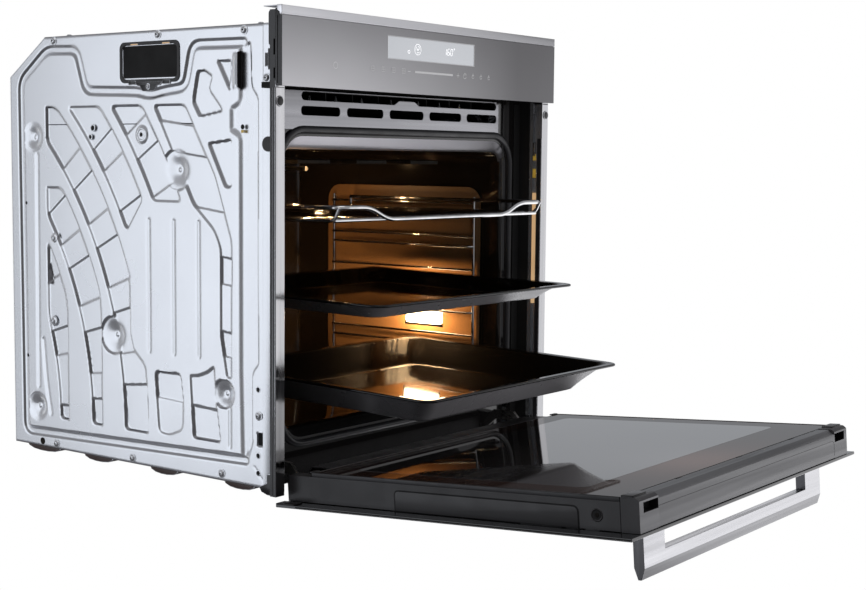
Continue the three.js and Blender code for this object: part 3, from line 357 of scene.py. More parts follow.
class Parts:
    """Collects simple solids into one mesh, each with its own material. On side -1 they are mirrored."""

    def __init__(self, locate=place, side=1):
        self.bm = bmesh.new()
        self.side = side
        self.materials = []
        self.locate = locate

    def index(self, material):
        if material not in self.materials:
            self.materials.append(material)
        return self.materials.index(material)

    def add(self, verts, faces, material):
        index = self.index(material)
        made = [self.bm.verts.new(self.locate(self.side * x, y, z)) for x, y, z in verts]
        out = []
        for face in faces:
            f = self.bm.faces.new([made[i] for i in face])
            f.material_index = index
            out.append(f)
        return out

    def solid(self, verts, faces, material):
        made = self.add(verts, faces, material)
        bmesh.ops.recalc_face_normals(self.bm, faces=made)
        return made

    def prism(self, outline, axis, low, high, material, bevel=0.0, all_edges=False):
        """An outline in the two other axes, pushed along one axis from low to high."""
        def point(u, v, w):
            return {"x": (w, u, v), "y": (u, w, v), "z": (u, v, w)}[axis]
        n = len(outline)
        verts = [point(u, v, low) for u, v in outline] + [point(u, v, high) for u, v in outline]
        faces = [tuple(range(n)), tuple(range(2 * n - 1, n - 1, -1))]
        faces += [(i, (i + 1) % n, n + (i + 1) % n, n + i) for i in range(n)]
        made = self.solid(verts, faces, material)
        if bevel:
            edges = list({e for f in (made if all_edges else made[:2]) for e in f.edges})
            bmesh.ops.bevel(self.bm, geom=edges, offset=bevel * MM, segments=2, affect="EDGES", profile=0.6)
        return self

    def block(self, x0, x1, y0, y1, z0, z1, material, bevel=0.6):
        return self.prism([(y0, z0), (y1, z0), (y1, z1), (y0, z1)], "x", x0, x1, material, bevel, True)

    def skin(self, rings, material, cap_end=False):
        """Joins rings of equal length into one smooth skin."""
        n = len(rings[0])
        verts = [v for ring in rings for v in ring]
        faces = [(k * n + i, k * n + (i + 1) % n, (k + 1) * n + (i + 1) % n, (k + 1) * n + i)
                 for k in range(len(rings) - 1) for i in range(n)]
        if cap_end:
            faces.append(tuple(range((len(rings) - 1) * n, len(rings) * n)))
        return self.solid(verts, faces, material)

    def turned(self, centre, axis, profile, material, steps=24):
        """A profile of (distance along axis, radius) turned about an axis through the centre."""
        direction = Vector(axis).normalized()
        side = direction.orthogonal().normalized()
        other = direction.cross(side)
        verts, rings = [], []
        for along, radius in profile:
            if radius == 0:
                rings.append([len(verts)])
                verts.append(tuple(Vector(centre) + direction * along))
                continue
            ring = []
            for i in range(steps):
                a = 2 * math.pi * i / steps
                offset = side * math.cos(a) + other * math.sin(a)
                ring.append(len(verts))
                verts.append(tuple(Vector(centre) + direction * along + offset * radius))
            rings.append(ring)
        faces = []
        for a, b in zip(rings, rings[1:]):
            for i in range(steps):
                quad = [a[i % len(a)], a[(i + 1) % len(a)], b[(i + 1) % len(b)], b[i % len(b)]]
                face = tuple(dict.fromkeys(quad))
                if len(face) > 2:
                    faces.append(face)
        self.solid(verts, faces, material)
        return self

    def screw(self, centre, axis, radius):
        """A washer-head screw with a round drive recess."""
        head = ((0, 0), (0, 1.35), (0.18, 1.35), (0.22, 1.02), (0.62, 0.9), (0.82, 0.62), (0.84, 0.34),
                (0.5, 0.3), (0.5, 0))
        self.turned(centre, axis, [(a * radius, b * radius) for a, b in head], "screw")
        # the drive recess is a near-black disc: painted shade
        self.turned(Vector(centre) + Vector(axis) * radius * 0.52, axis,
                    [(0, 0), (0, radius * 0.29), (0.05, radius * 0.25), (0.05, 0)], "hole", 6)
        return self

    def build(self, name, body, slot, angle=35, node=None):
        mesh = bpy.data.meshes.new(name)
        self.bm.to_mesh(mesh)
        self.bm.free()
        for material in self.materials:
            mesh.materials.append(MAT[material])
        return publish_mesh(name, mesh, body, angle, node)


def arc(cu, cv, radius, start, end, steps=6):
    """Points of an arc in degrees, both ends included."""
    angles = [math.radians(start + (end - start) * i / steps) for i in range(steps + 1)]
    return [(cu + radius * math.cos(a), cv + radius * math.sin(a)) for a in angles]


def rounded(u0, u1, v0, v1, r, steps=6):
    return (arc(u1 - r, v0 + r, r, -90, 0, steps) + arc(u1 - r, v1 - r, r, 0, 90, steps)
            + arc(u0 + r, v1 - r, r, 90, 180, steps) + arc(u0 + r, v0 + r, r, 180, 270, steps))


EDGE_ANGLE = 35                # edges sharper than this are rounded and drawn sharp


def refine(node, material, bevel=0.5):
    """Stands for a CAD node with the same shape, clean planar faces and rounded edges."""
    source = frame["nodes"][node]
    bm = bmesh.new()
    bm.from_mesh(source.data)
    bmesh.ops.remove_doubles(bm, verts=bm.verts, dist=1e-6)
    bmesh.ops.dissolve_limit(bm, angle_limit=math.radians(1), verts=bm.verts, edges=bm.edges)
    mesh = bpy.data.meshes.new(node + "_fine")
    bm.to_mesh(mesh)
    bm.free()
    mesh.materials.clear()
    mesh.materials.append(MAT[material])
    for polygon in mesh.polygons:
        polygon.material_index = 0
    obj = publish_mesh(node + "_fine", mesh, source["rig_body"], EDGE_ANGLE, node)
    modifier = obj.modifiers.new("edges", "BEVEL")
    modifier.width = bevel * MM
    modifier.segments = 2
    modifier.limit_method = "ANGLE"
    modifier.angle_limit = math.radians(EDGE_ANGLE)
    modifier.harden_normals = True
    return obj


def fillet(points, radius, steps=5):
    """A path with its corners rounded."""
    pts = [Vector(p) for p in points]
    out = [pts[0]]
    for before, corner, after in zip(pts, pts[1:], pts[2:]):
        a, b = (before - corner), (after - corner)
        reach = min(radius, a.length * 0.45, b.length * 0.45)
        start, end = corner + a.normalized() * reach, corner + b.normalized() * reach
        for i in range(steps + 1):
            t = i / steps
            out.append(start * (1 - t) ** 2 + corner * 2 * t * (1 - t) + end * t * t)
    out.append(pts[-1])
    return out


class Wires:
    """Round wires gathered into one curve object."""

    def __init__(self, radius):
        self.curve = bpy.data.curves.new("wires", "CURVE")
        self.curve.dimensions = "3D"
        self.curve.bevel_depth = radius * MM
        self.curve.bevel_resolution = 4
        self.curve.use_fill_caps = True

    def add(self, points, bend=6.0, thick=1.0):
        path = fillet(points, bend) if len(points) > 2 else [Vector(p) for p in points]
        spline = self.curve.splines.new("POLY")
        spline.points.add(len(path) - 1)
        for target, p in zip(spline.points, path):
            target.co = (*place(*p), 1)
            target.radius = thick
        spline.use_smooth = True
        return self

    def build(self, name, body, node=None):
        self.curve.name = name
        self.curve.materials.append(MAT["chrome"])
        return publish(bpy.data.objects.new(name, self.curve), body, node)


# ---------------------------------------------------------------- side panels
PRESS_CENTRE = (827.0, 51.0)   # centre of the concentric pressed bands
BAND_INNER = (408.0, 476.0, 542.0, 608.0, 673.0, 738.0)
BAND_WIDTH = 49.5
DEEP, SHALLOW = 4.0, 2.3       # depth of alternate tiles in a band
PANEL_STEP = 1.6
# Limits of the first five bands as (y, z) outlines.
BAND_LIMITS = (
    [(443, 48), (443, 330), (400, 330), (400, 48)],
    [(443, 48), (443, 372), (330, 372), (330, 48)],
    [(443, 48), (443, 482), (330, 482), (255, 262), (272, 250), (272, 180), (266, 160), (238, 136),
     (237, 48)],
    [(443, 310), (443, 482), (250, 482), (228, 420), (247, 357), (276, 318), (330, 318)],
    [(443, 350), (443, 482), (180, 482), (150, 400), (170, 356), (247, 356)],
)
FRONT_BAND = [(166, 482), (226, 482), (196, 430), (153, 354), (115, 322), (104, 300), (104, 190), (93, 136),
              (83, 136), (82, 310), (112, 392)]
RUNG_ANGLES = (
    (26, 17, 12, 2.4),
    (36.3, 30.2, 26, 19.3, 15, 8, 4),
    (39.5, 35.8, 29.9, 26.2, 20.1, 16.5, 10.5, 6.2),
    (37.7, 34.3, 28.6),
    (35.5, 32.3, 27.4),
)
FRONT_RUNGS = (446, 410, 344, 289, 254, 195, 163)
PAD_RUNG = 88
CHANNEL = [(60, 36), (494, 24), (496, 518), (439, 559), (376, 557), (358, 502), (255, 499), (232, 494),
           (205, 499), (165, 503), (152, 556), (62, 555)]
FRONT_STRIP = [(73, 559), (49, 556), (47, 501), (37, 489), (36, 159), (46, 148), (46, 60), (56, 30), (70, 30),
               (73, 150), (73, 438), (89, 446), (89, 478), (73, 486)]
BEADS = (
    [(462, 415), (465, 91)], [(454, 157), (448, 96), (439, 54)],
    [(235, 332), (235, 160)], [(188, 332), (188, 160)], [(142, 332), (142, 160)], [(87, 99), (87, 50)],
)
PADS = (
    ([(226, 135), (176, 136), (170, 92), (172, 60), (198, 50), (219, 52)], 9),
    ([(160, 136), (147, 136), (129, 142), (114, 152), (110, 100), (103, 52), (154, 52)], 6),
    ([(110, 536), (82, 535), (85, 494)], 5),
    ([(131, 525), (144, 524), (153, 484), (140, 464), (97, 471), (103, 480), (122, 500), (115, 516)], 5),
    ([(126, 433), (83, 438), (83, 376), (95, 376)], 5),
    ([(443, 273), (443, 236), (431, 236)], 4),
)
# Dimples: y, z, radius and depth of the rim.
DIMPLES = ((470, 440, 21, 0.3), (182, 398, 27, 3.0), (306, 175, 26, 3.0), (468, 61, 21, 0.3),
           (98, 116, 19, 3.0))
PANEL_HOLES = ((343, 452, 3.6), (348, 440, 2.8), (247, 443, 2.9), (486, 348, 2.4), (487, 132, 2.4),
               (37, 128, 3.0), (37, 45, 3.0), (37, 23, 3.0))
RUNNERS = ((44, 100), (183, 238), (310, 372), (420, 495))
HOOKS = ((427, 301), (430, 185))
COVER = (174, 287, 510, 563)   # black access cover: y and z limits
SLOT = (30, 40, 56, 74)
LOUVRE = (66, 80, 497, 544)
DISC = (247, 443)              # flat round seat of the grommet


def smooth(edge0, edge1, x):
    t = np.clip((x - edge0) / (edge1 - edge0), 0, 1)
    return t * t * (3 - 2 * t)


def path_distance(y, z, points, closed=False):
    """Distance to an open or closed path."""
    pts = list(points) + ([points[0]] if closed else [])
    d = np.full(y.shape, 1e18)
    for a, b in zip(pts, pts[1:]):
        ey, ez = b[0] - a[0], b[1] - a[1]
        wy, wz = y - a[0], z - a[1]
        t = np.clip((wy * ey + wz * ez) / (ey * ey + ez * ez + 1e-12), 0, 1)
        d = np.minimum(d, (wy - ey * t) ** 2 + (wz - ez * t) ** 2)
    return np.sqrt(d)


def outline_distance(y, z, points):
    """Distance to a closed outline, negative inside."""
    inside = np.zeros(y.shape, bool)
    for a, b in zip(points, list(points[1:]) + [points[0]]):
        crosses = (a[1] > z) != (b[1] > z)
        at = a[0] + (z - a[1]) * (b[0] - a[0]) / (b[1] - a[1] if b[1] != a[1] else 1e-9)
        inside ^= crosses & (y < at)
    d = path_distance(y, z, points, closed=True)
    return np.where(inside, -d, d)


def both(a, b, k=7.0):
    """Distance to the part that two shapes share, with its corners rounded over k millimetres."""
    h = np.clip(0.5 + 0.5 * (a - b) / k, 0, 1)
    return b * (1 - h) + a * h + k * h * (1 - h)


def box_distance(y, z, box):
    """Distance to an upright rectangle given by its y and z limits."""
    y0, y1, z0, z1 = box
    return np.maximum(np.abs(y - (y0 + y1) / 2) - (y1 - y0) / 2, np.abs(z - (z0 + z1) / 2) - (z1 - z0) / 2)


def line_groove(d, width):
    return np.exp(-(d / width) ** 2)


def rounded_path(points, radius, closed=False, steps=4):
    pts = [Vector((*p, 0)) for p in points]
    if not closed:
        return [(p.x, p.y) for p in fillet(pts, radius, steps)]
    middle = (pts[0] + pts[-1]) / 2
    return [(p.x, p.y) for p in fillet([middle] + pts + [middle], radius, steps)][:-1]


def chamfer_line(y):
    """Height of the panel's top edge at y."""
    return BODY_TOP - np.clip((y - BODY_REAR + CHAMFER_Y) / CHAMFER_Y, 0, 1) * CHAMFER_Z


def tile_depth(position, edges, first):
    """Depth that changes at each edge, deep and shallow in turn, with a short slope between tiles."""
    depth = np.full(position.shape, DEEP if first else SHALLOW)
    sign = -1 if first else 1
    for edge in edges:
        depth = depth + sign * (DEEP - SHALLOW) * smooth(edge + 1.0, edge - 1.0, position)
        sign = -sign
    return depth


def panel_relief(y, z):
    """Outward height of the pressed panel, in mm, with 0 at its outer face."""
    h = np.zeros(y.shape)
    radius = np.hypot(y - PRESS_CENTRE[0], z - PRESS_CENTRE[1])
    arc_length = np.arctan2(z - PRESS_CENTRE[1], PRESS_CENTRE[0] - y)
    for k, (inner, limit) in enumerate(zip(BAND_INNER, BAND_LIMITS)):
        ring = np.abs(radius - inner - BAND_WIDTH / 2) - BAND_WIDTH / 2
        d = both(ring, outline_distance(y, z, limit))
        middle = inner + BAND_WIDTH / 2
        edges = [math.radians(a) * middle for a in RUNG_ANGLES[k]]
        position = arc_length * middle
        depth = tile_depth(position, edges, k % 2 == 0)
        ridge = sum(line_groove(position - e, 1.3) for e in edges)
        h -= (depth - 0.4 * ridge) * (1 - smooth(-2.6, 0.0, d))
    d = outline_distance(y, z, rounded_path(FRONT_BAND, 8, closed=True))
    level = z - (y - 90) * 0.12
    ridge = sum(line_groove(level - e, 1.3) for e in FRONT_RUNGS)
    h -= (tile_depth(level, FRONT_RUNGS, True) - 0.4 * ridge) * (1 - smooth(-3.0, 0.0, d))
    channel = 1 - smooth(3.2, 7.0, path_distance(y, z, rounded_path(CHANNEL, 13)))
    strip = outline_distance(y, z, rounded_path(FRONT_STRIP, 5, closed=True))
    strip = 1 - smooth(-1.0, 0.0, strip / (3.0 + 7.0 * smooth(50, 60, y)))
    h -= 3.4 * np.maximum(channel, strip)
    for bead in BEADS:
        h -= 1.5 * line_groove(path_distance(y, z, rounded_path(bead, 60)), 2.4)
    for k, (pad, corner) in enumerate(PADS):
        d = outline_distance(y, z, rounded_path(pad, corner, closed=True))
        depth = DEEP if k > 1 else tile_depth(z - y * 0.05, (PAD_RUNG,), k == 0)
        h -= depth * (1 - smooth(-3.0, 0.0, d))
    for cy, cz, r, rim in DIMPLES:
        d = np.hypot(y - cy, z - cz)
        bowl = -rim - 6.0 * (1 - smooth(0, r, d)) + (rim + 3.0) * smooth(r - 1.5, r + 1.5, d)
        h = 2.4 * line_groove(d, 2.6) - both(-h, -bowl, 1.2)
    d = np.hypot(y - DISC[0], z - DISC[1])
    h = np.where(d < 17, h * smooth(8.0, 13.0, d), h)
    h -= 9.0 * (1 - smooth(-2.0, 0.0, box_distance(y, z, COVER) + 6))
    h -= 3.0 * (1 - smooth(-1.6, 0.0, box_distance(y, z, SLOT)))
    y0, y1, z0, z1 = LOUVRE
    middle = (y0 + y1) / 2
    louvre = both(np.abs(y - middle) - (y1 - y0) / 2,
                  np.abs(z - (z0 + z1) / 2) - (z1 - z0) / 2 + np.maximum(0, middle - y) * 0.8, 3)
    h += 2.6 * (1 - smooth(-7.0, 0.5, louvre)) * smooth(y0, y1 - 1.0, y)
    # the plain front strip: a step and three fine creases
    h -= 0.9 * smooth(16.0, 13.0, y) * smooth(3.0, 5.0, y)
    h -= 0.7 * line_groove(y - 24.5, 0.9) * smooth(34, 36, z) * smooth(436, 434, z)
    h -= 0.6 * (line_groove(y - 30.0, 0.9) + line_groove(path_distance(y, z, [(44, 30), (22, 6)]), 0.9))
    return h


def panel_edge(y, z):
    """The folded edge: the sheet curls in over the last millimetres before its border."""
    edge = np.minimum.reduce([BODY_REAR - y, z - PAN_Z, (chamfer_line(y) - z) * 0.82])
    curl = 2.2 - 1.4 * smooth(30, 26, y)       # less of it beside the closed door
    fold = [np.clip(1 - d / 2.6, 0, 1) ** 2 for d in (edge, y - BODY_FRONT)]
    return np.maximum(curl * fold[0], fold[1])


def side_panel(side):
    """The pressed skin as a grid that follows the chamfer, folded in all round its border."""
    name = "side_panel_" + word(side)
    columns = int(round((BODY_REAR - BODY_FRONT) / PANEL_STEP)) + 1
    rows = int(round((BODY_TOP - PAN_Z) / PANEL_STEP)) + 1
    yy, share = np.meshgrid(np.linspace(BODY_FRONT, BODY_REAR, columns), np.linspace(0, 1, rows),
                            indexing="ij")
    zz = PAN_Z + (chamfer_line(yy) - PAN_Z) * share
    xx = side * (SIDE_X + panel_relief(yy, zz) - panel_edge(yy, zz))
    coords = np.stack([xx, yy, zz], axis=-1).reshape(-1, 3)
    index = np.arange(columns * rows).reshape(columns, rows)
    quads = np.stack([index[:-1, :-1], index[1:, :-1], index[1:, 1:], index[:-1, 1:]], axis=-1)
    quads = quads.reshape(-1, 4)
    border = [(index[:, 0], 13, 1), (index[:, -1], 13, -1), (index[0, :], 1.3, -1), (index[-1, :], 6, 1)]
    for line, depth, turn in border:
        start = len(coords)
        inner = coords[line].copy()
        # no foot flange beside the closed door
        by_door = (inner[:, 1] < FLANGE_Y) & (inner[:, 2] < PAN_Z + 1)
        inner[:, 0] = side * (SIDE_X - np.where(by_door, 1.5, depth))
        coords = np.concatenate([coords, inner])
        new = np.arange(start, start + len(line))
        strip = np.stack([line[:-1], new[:-1], new[1:], line[1:]], axis=-1)
        quads = np.concatenate([quads, strip if turn > 0 else strip[:, ::-1]])
    if side < 0:
        quads = quads[:, ::-1]
    coords = (coords - np.array([0, SEAT_Y, 0])) * MM
    mesh = bpy.data.meshes.new(name + "_pressed")
    mesh.from_pydata(coords.tolist(), [], quads.tolist())
    mesh.materials.append(MAT["pressed"])
    publish_mesh(name + "_pressed", mesh, "carcass", 50, name)


SCREWS = ((422, 571), (214, 571), (60, 570), (427, 12), (269, 12), (101, 14), (36, 95), (22, 511))
OUT = (1, 0, 0)


def access_cover(parts, x):
    """The black cover: a raised frame, a sunk plate drawn near black as painted shade, its catches and its
    screw.
    """
    y0, y1, z0, z1 = COVER
    cy, cz, hy, hz = (y0 + y1) / 2, (z0 + z1) / 2, (y1 - y0) / 2, (z1 - z0) / 2
    rings = []
    for rise, scale in ((-0.5, 1.0), (1.0, 1.0), (1.2, 0.96), (1.2, 0.93), (-6, 0.86)):
        shrink = (1 - scale) * hy
        rings.append([(x + rise, cy + (y - cy) * (1 - shrink / hy), cz + (z - cz) * (1 - shrink / hz))
                      for y, z in rounded(y0, y1, z0, z1, 9)])
    parts.skin(rings, "plastic")
    parts.prism(rounded(y0 + 5.5, y1 - 5.5, z0 + 5, z1 - 5, 5), "x", x - 8.4, x - 0.8, "hole")
    # catches in the glowing label finish: painted light
    for y in (198, 258):
        parts.block(x + 0.6, x + 1.5, y - 7, y + 7, z1 - 4.6, z1 - 2.4, "warm_glow_label", 0.3)
    for lug in ([(211, 506), (252, 506), (258, 511), (205, 511)],
                [(221, 499), (243, 499), (249, 507), (215, 507)]):
        parts.prism(lug, "x", x, x + 1.3, "gloss_plastic", 0.3)
    for y in (y0 + 24, y1 - 24):
        parts.block(x, x + 1.3, y - 7, y + 7, z0 - 2.5, z0 + 3, "gloss_plastic", 0.4)
    parts.screw((x + 1.2, 232, 505), OUT, 3.0)


def panel_fittings(side):
    """Screws, hole rims, hooks, the access cover, black front pieces and runners on one side panel."""
    x = SIDE_X
    parts = Parts(side=side)
    for y, z in SCREWS:
        parts.screw((x - 0.2, y, z), OUT, 4.3)
    for y, z, r in PANEL_HOLES:
        rim = [(0.2, r + 1.4), (0.8, r + 0.9), (0.9, r), (0.3, r - 0.3)]
        # dark discs inside the holes: painted shade
        parts.turned((x - 0.5, y, z), OUT, [(0.75, 0), (0.75, r)], "hole", 20)
        parts.turned((x - 0.5, y, z), OUT, rim, "galv", 20)
    grommet = [(0.0, 10.5), (1.0, 8.8), (1.2, 7.6), (0.9, 6.8), (-0.6, 5.4)]
    parts.turned((x - 0.3, *DISC), OUT, grommet, "galv", 28)
    hook = [(0, 7.5), (0.9, 6.4), (1.4, 4.4), (3.2, 3.6), (3.8, 2.4), (2.6, 1.6), (2.6, 0)]
    for y, z in HOOKS:
        parts.turned((x - 0.6, y, z), OUT, hook, "galv", 22)
    parts.turned((x, 458, 12), OUT, [(0.2, 0), (0.2, 5)], "heater", 20)
    y0, y1, z0, z1 = SLOT
    # near black in the slot and in the hole beside it: painted shade
    parts.block(x - 3.6, x - 2.2, y0 + 1, y1 - 1, z0 + 1, z1 - 1, "hole", 0)
    parts.turned((x - 0.5, 63, 452), OUT, [(0.75, 0), (0.75, 3.2)], "hole", 20)
    parts.block(x - 1, x + 0.5, 60.5, 65.5, 444.5, 448.5, "brass", 0.3)
    tip, base = x + 5.5, x - 1
    verts = [(base, 80, 507), (base, 80, 541), (base, 67, 498), (base, 67, 545), (tip, 67, 501),
             (tip, 67, 543)]
    louvre = parts.add(verts, [(0, 1, 5, 4), (0, 4, 2), (1, 3, 5)], "galv_cover")
    # the louvre's mouth and the strip beside it are near black: painted shade
    mouth = [(base, 66.9, 498), (base, 66.9, 545), (tip, 66.9, 543), (tip, 66.9, 501)]
    louvre += parts.add(mouth, [(0, 1, 2, 3)], "hole")
    parts.prism([(63.5, 502), (66.6, 496), (66.6, 545), (63.5, 542)], "x", base, x + 0.3, "hole")
    bmesh.ops.recalc_face_normals(parts.bm, faces=louvre)
    access_cover(parts, x)
    # black plastic pieces along the front edge: strip end, clips, stop, half-round tab and hinge foot
    parts.prism(rounded(3, 15, 548, 592, 5), "x", x, x + 5, "gloss_plastic", 0.8)
    parts.block(x, x + 4, 14, 22, 524, 541, "gloss_plastic", 0.8)
    parts.block(x, x + 5, 3, 16, 520, 546, "plastic", 0.8)
    stop = [(3, 484), (10, 484), (15, 490), (15, 502), (10, 512), (3, 512)]
    parts.prism(stop, "x", x, x + 4, "gloss_plastic", 0.6)
    parts.prism([(1, 421)] + arc(15, 431, 9.5, -90, 90, 10) + [(1, 441)], "x", x, x + 6.5, "plastic", 0.6)
    foot = [(1, 26), (1, -1), (16, -1), (26, 2), (30, 8), (17, 14), (17, 26)]
    parts.prism(foot, "x", x - 2, x + 6.5, "gloss_plastic", 0.8)
    for y0, y1 in RUNNERS:
        middle, half = (y0 + y1) / 2, (y1 - y0) / 2
        belly = [(middle + half * t, -3.0 + 6 * abs(t) ** 3) for t in (-0.9, -0.6, -0.2, 0.2, 0.6, 0.9)]
        parts.prism([(y0, 6)] + belly + [(y1, 6)], "x", x - 32, x - 2, "foot", 1.2)
    parts.build("side_fittings_" + word(side), "carcass", "dark_plastic", 40)


for panel_side in (-1, 1):
    side_panel(panel_side)
    panel_fittings(panel_side)


# ---------------------------------------------------------------- sections swept along y
def section(y, half, z0, z1, r, steps=8):
    return [(x, y, z) for x, z in rounded(-half, half, z0, z1, r, steps)]


# The mouth flares in as a straight slope between two rounds: shares of its depth and of its height.
FLARE = ((0, 0), (0.02, 0.05), (0.05, 0.12), (0.12, 0.30), (0.19, 0.48), (0.26, 0.66), (0.33, 0.82),
         (0.42, 0.91), (0.56, 0.96), (0.76, 0.99), (1, 1))
# Sections as y, half width, lower and upper edge, corner radius.
MOUTH, THROAT = (28.5, 246.5, 57.0, 446.0, 38.0), (48.0, 237.0, 73.0, 425.0, 16.0)
LIP_RINGS = 9                  # rings of the flare that count as its lip


def cavity():
    parts = Parts()
    rings = []
    for c, t in FLARE:
        rings.append(section(*(a + (b - a) * share for a, b, share in zip(MOUTH, THROAT, (c, t, t, t, t)))))
    for face in parts.skin(rings[:LIP_RINGS], "cavity_lip_highlight"):      # painted highlight: only the upper slope gets the light grey lip colour, for the band of light it mirrors
        if abs(face.normal.z) < 0.25 or face.calc_center_median().z < place(0, 0, 300).z:
            face.material_index = parts.index("enamel")
    rings = rings[LIP_RINGS - 1:]
    _, half, z0, z1, r = THROAT
    for depth, shrink in ((60, 0), (150, 0), (290, 0), (430, 0), (436, 0.8), (439.3, 3.5), (440, 7)):
        rings.append(section(depth, half - shrink, z0 + shrink, z1 - shrink, r - shrink / 2))
    parts.skin(rings, "enamel_cavity", cap_end=True)
    parts.build("cavity_fine", "carcass", "black_enamel", 60, "cavity_muffle")


cavity()


SEAL = (255.5, 47.5, 455.5, 47.0)    # outer half width, lower and upper edge, corner radius


def door_seal():
    """Rubber seal: a half-round bead that runs round the mouth."""
    parts = Parts()
    rings = []
    half, z0, z1, r = SEAL
    for i in range(13):
        a = math.pi * i / 12
        inset = 4.6 * (1 - math.cos(a))
        rings.append(section(FLANGE_Y - 0.4 - 4.8 * math.sin(a), half - inset, z0 + inset, z1 - inset * 1.15,
                             r - inset))
    parts.skin(rings, "rubber")
    parts.build("door_seal_fine", "carcass", "seal_rubber", 60, "door_seal")


door_seal()


# ---------------------------------------------------------------- wires
HIGH, LOW = 354.0, 338.0
SHELF_FRONT, SHELF_REAR, SHELF_HALF = -48.0, 315.0, 223.0


def wire_shelf():
    thick = Wires(2.9)
    half, front, rear = SHELF_HALF, SHELF_FRONT, SHELF_REAR
    thick.add([(-half, rear, HIGH), (-half, front, HIGH), (-168, front, HIGH), (-131, front, LOW),
               (131, front, LOW), (168, front, HIGH), (half, front, HIGH), (half, rear, HIGH)], 15)
    thick.build("shelf_frame", "shelf", "wire_shelf")
    thin = Wires(2.5)
    y1 = front + 10
    for s in (-1, 1):
        x = s * half
        thin.add([(x, front + 2, HIGH), (x, y1, LOW), (x, rear, LOW), (x, rear, HIGH)], 8)
    thin.add([(-half, y1, LOW), (half, y1, LOW)])
    thin.add([(-half, rear, LOW), (half, rear, LOW)])
    middle = (front + rear) / 2
    thin.add([(-half + 8, middle, LOW - 1.6), (half - 8, middle, LOW - 1.6)], thick=0.8)
    for i in range(-13, 14):
        x = i * 16
        thin.add([(x, front if abs(x) <= 130 else y1, LOW + 1.4), (x, rear, LOW + 1.4)], thick=0.5)
    thin.build("shelf_wires", "shelf")


wire_shelf()
RACK_Y0, RACK_Y1, LEVEL_TOP, LEVEL_PITCH = 76.0, 356.0, 333.0, 50.4


def side_rack(side):
    wires = Wires(2.0)
    x, inset = side * 229.6, side * 222.0
    low = LEVEL_TOP - LEVEL_PITCH * 5
    for y in (RACK_Y0, RACK_Y1):
        wires.add([(x, y, low - 3), (x, y, LEVEL_TOP + 25)], thick=1.1)
    for level in range(6):
        z = LEVEL_TOP - level * LEVEL_PITCH
        wires.add([(x, RACK_Y0, z), (inset, RACK_Y0 + 6, z), (inset, RACK_Y1 - 6, z), (x, RACK_Y1, z)])
        wires.add([(side * 227.5, RACK_Y0 - 1, z + 15), (side * 227.5, RACK_Y1 + 1, z + 15)])
    wires.build("rack_wires_" + word(side), "carcass", "side_rack_" + word(side))
    nuts = Parts(side=side)
    nut = [(0, 6), (2.5, 6), (3.2, 5), (3.2, 3.2), (5, 3)]
    for y in (RACK_Y0, RACK_Y1):
        for z in (low + 24, LEVEL_TOP + 20):
            nuts.turned((236.5, y, z), (-1, 0, 0), nut, "nickel", 6)
    nuts.build("rack_nuts_" + word(side), "carcass", "nickel_steel")


side_rack(-1)
side_rack(1)


# ---------------------------------------------------------------- trays
TRAY_HALF, TRAY_LENGTH = 223.5, 375.0


def tray(name, body, front, z, slope, depth, inset):
    """A pressed tray with a rolled rim, a soft shoulder and a rounded floor."""
    tilt = math.atan(slope)
    half, length = TRAY_HALF, TRAY_LENGTH

    def locate(x, v, w):
        c, s = math.cos(tilt), math.sin(tilt)
        return place(x, front + v * c - w * s, z + v * s + w * c)

    def ring(w, grow, r):
        return [(x, v, w) for x, v in rounded(-half + grow, half - grow, grow, length - grow, r, 9)]

    def wall(u, lower):
        """A ring of the wall from the rim edge (u = 0) to the floor (u = 1), inside or outside."""
        t = 1.1 if lower else 0.0
        ease = 0.5 - 0.5 * math.cos(math.pi * u)
        blend = 0.78 * u + 0.22 * ease
        w = -depth * (0.82 * u + 0.18 * ease)
        return ring(w - t, 11 + inset * (blend - (0.02 if lower else 0)), 18 + 7 * math.sin(math.pi * u))

    parts = Parts(locate)
    top = [ring(*rim) for rim in ((-3.4, 0.9, 17.2), (-3.0, 0.1, 18), (-1.2, 0.0, 18), (-0.3, 0.7, 17.4),
                                  (0.0, 2.2, 16.6), (-0.5, 5.5, 16.4), (-0.6, 9.6, 17.4))]
    top += [wall(u, False) for u in (0.03, 0.12, 0.3, 0.5, 0.7, 0.86, 0.95)]
    top += [ring(-depth - 0.1, 11 + inset * 1.03, 18), ring(-depth - 0.3, 14 + inset * 1.05, 16),
            ring(-depth + 0.7, 22 + inset * 1.1, 12), ring(-depth + 0.8, 26 + inset * 1.1, 10)]
    # painted shade: the inner walls take the enamel copy with the weaker reflection
    for k, face in enumerate(parts.skin(top, "enamel_tray", cap_end=True)):
        if 6 <= k // len(top[0]) <= 13:
            face.material_index = parts.index("tray_wall_painted_shade")
    # outside and underside in the mid grey of painted light
    under = [ring(-3.4, 0.9, 17.2), ring(-3.2, 2.0, 16.4), ring(-1.7, 3.0, 16.2), ring(-1.8, 9.4, 17.2)]
    under += [wall(u, True) for u in (0.04, 0.15, 0.32, 0.52, 0.72, 0.88, 0.96)]
    under += [ring(-depth - 1.3, 12 + inset * 1.03, 17), ring(-depth - 1.4, 15 + inset * 1.05, 15)]
    parts.skin(under, "tray_outer_painted_light", cap_end=True)
    parts.build(name + "_fine", body, "black_enamel", 60, name)


tray("upper_tray", "upper_tray_body", front=-110.0, z=238.0, slope=0.018, depth=20.0, inset=26.0)
tray("lower_tray", "lower_tray_body", front=-186.0, z=129.5, slope=0.03, depth=36.0, inset=34.0)


# ---------------------------------------------------------------- cabinet front: trims, vent plate, gaps
def two_faced(obj, direction, material, limit=0.7):
    """Gives the faces that look along a direction a second material."""
    obj.data.materials.append(MAT[material])
    way = Vector(direction)
    for polygon in obj.data.polygons:
        if polygon.normal.dot(way) > limit:
            polygon.material_index = len(obj.data.materials) - 1
    return obj


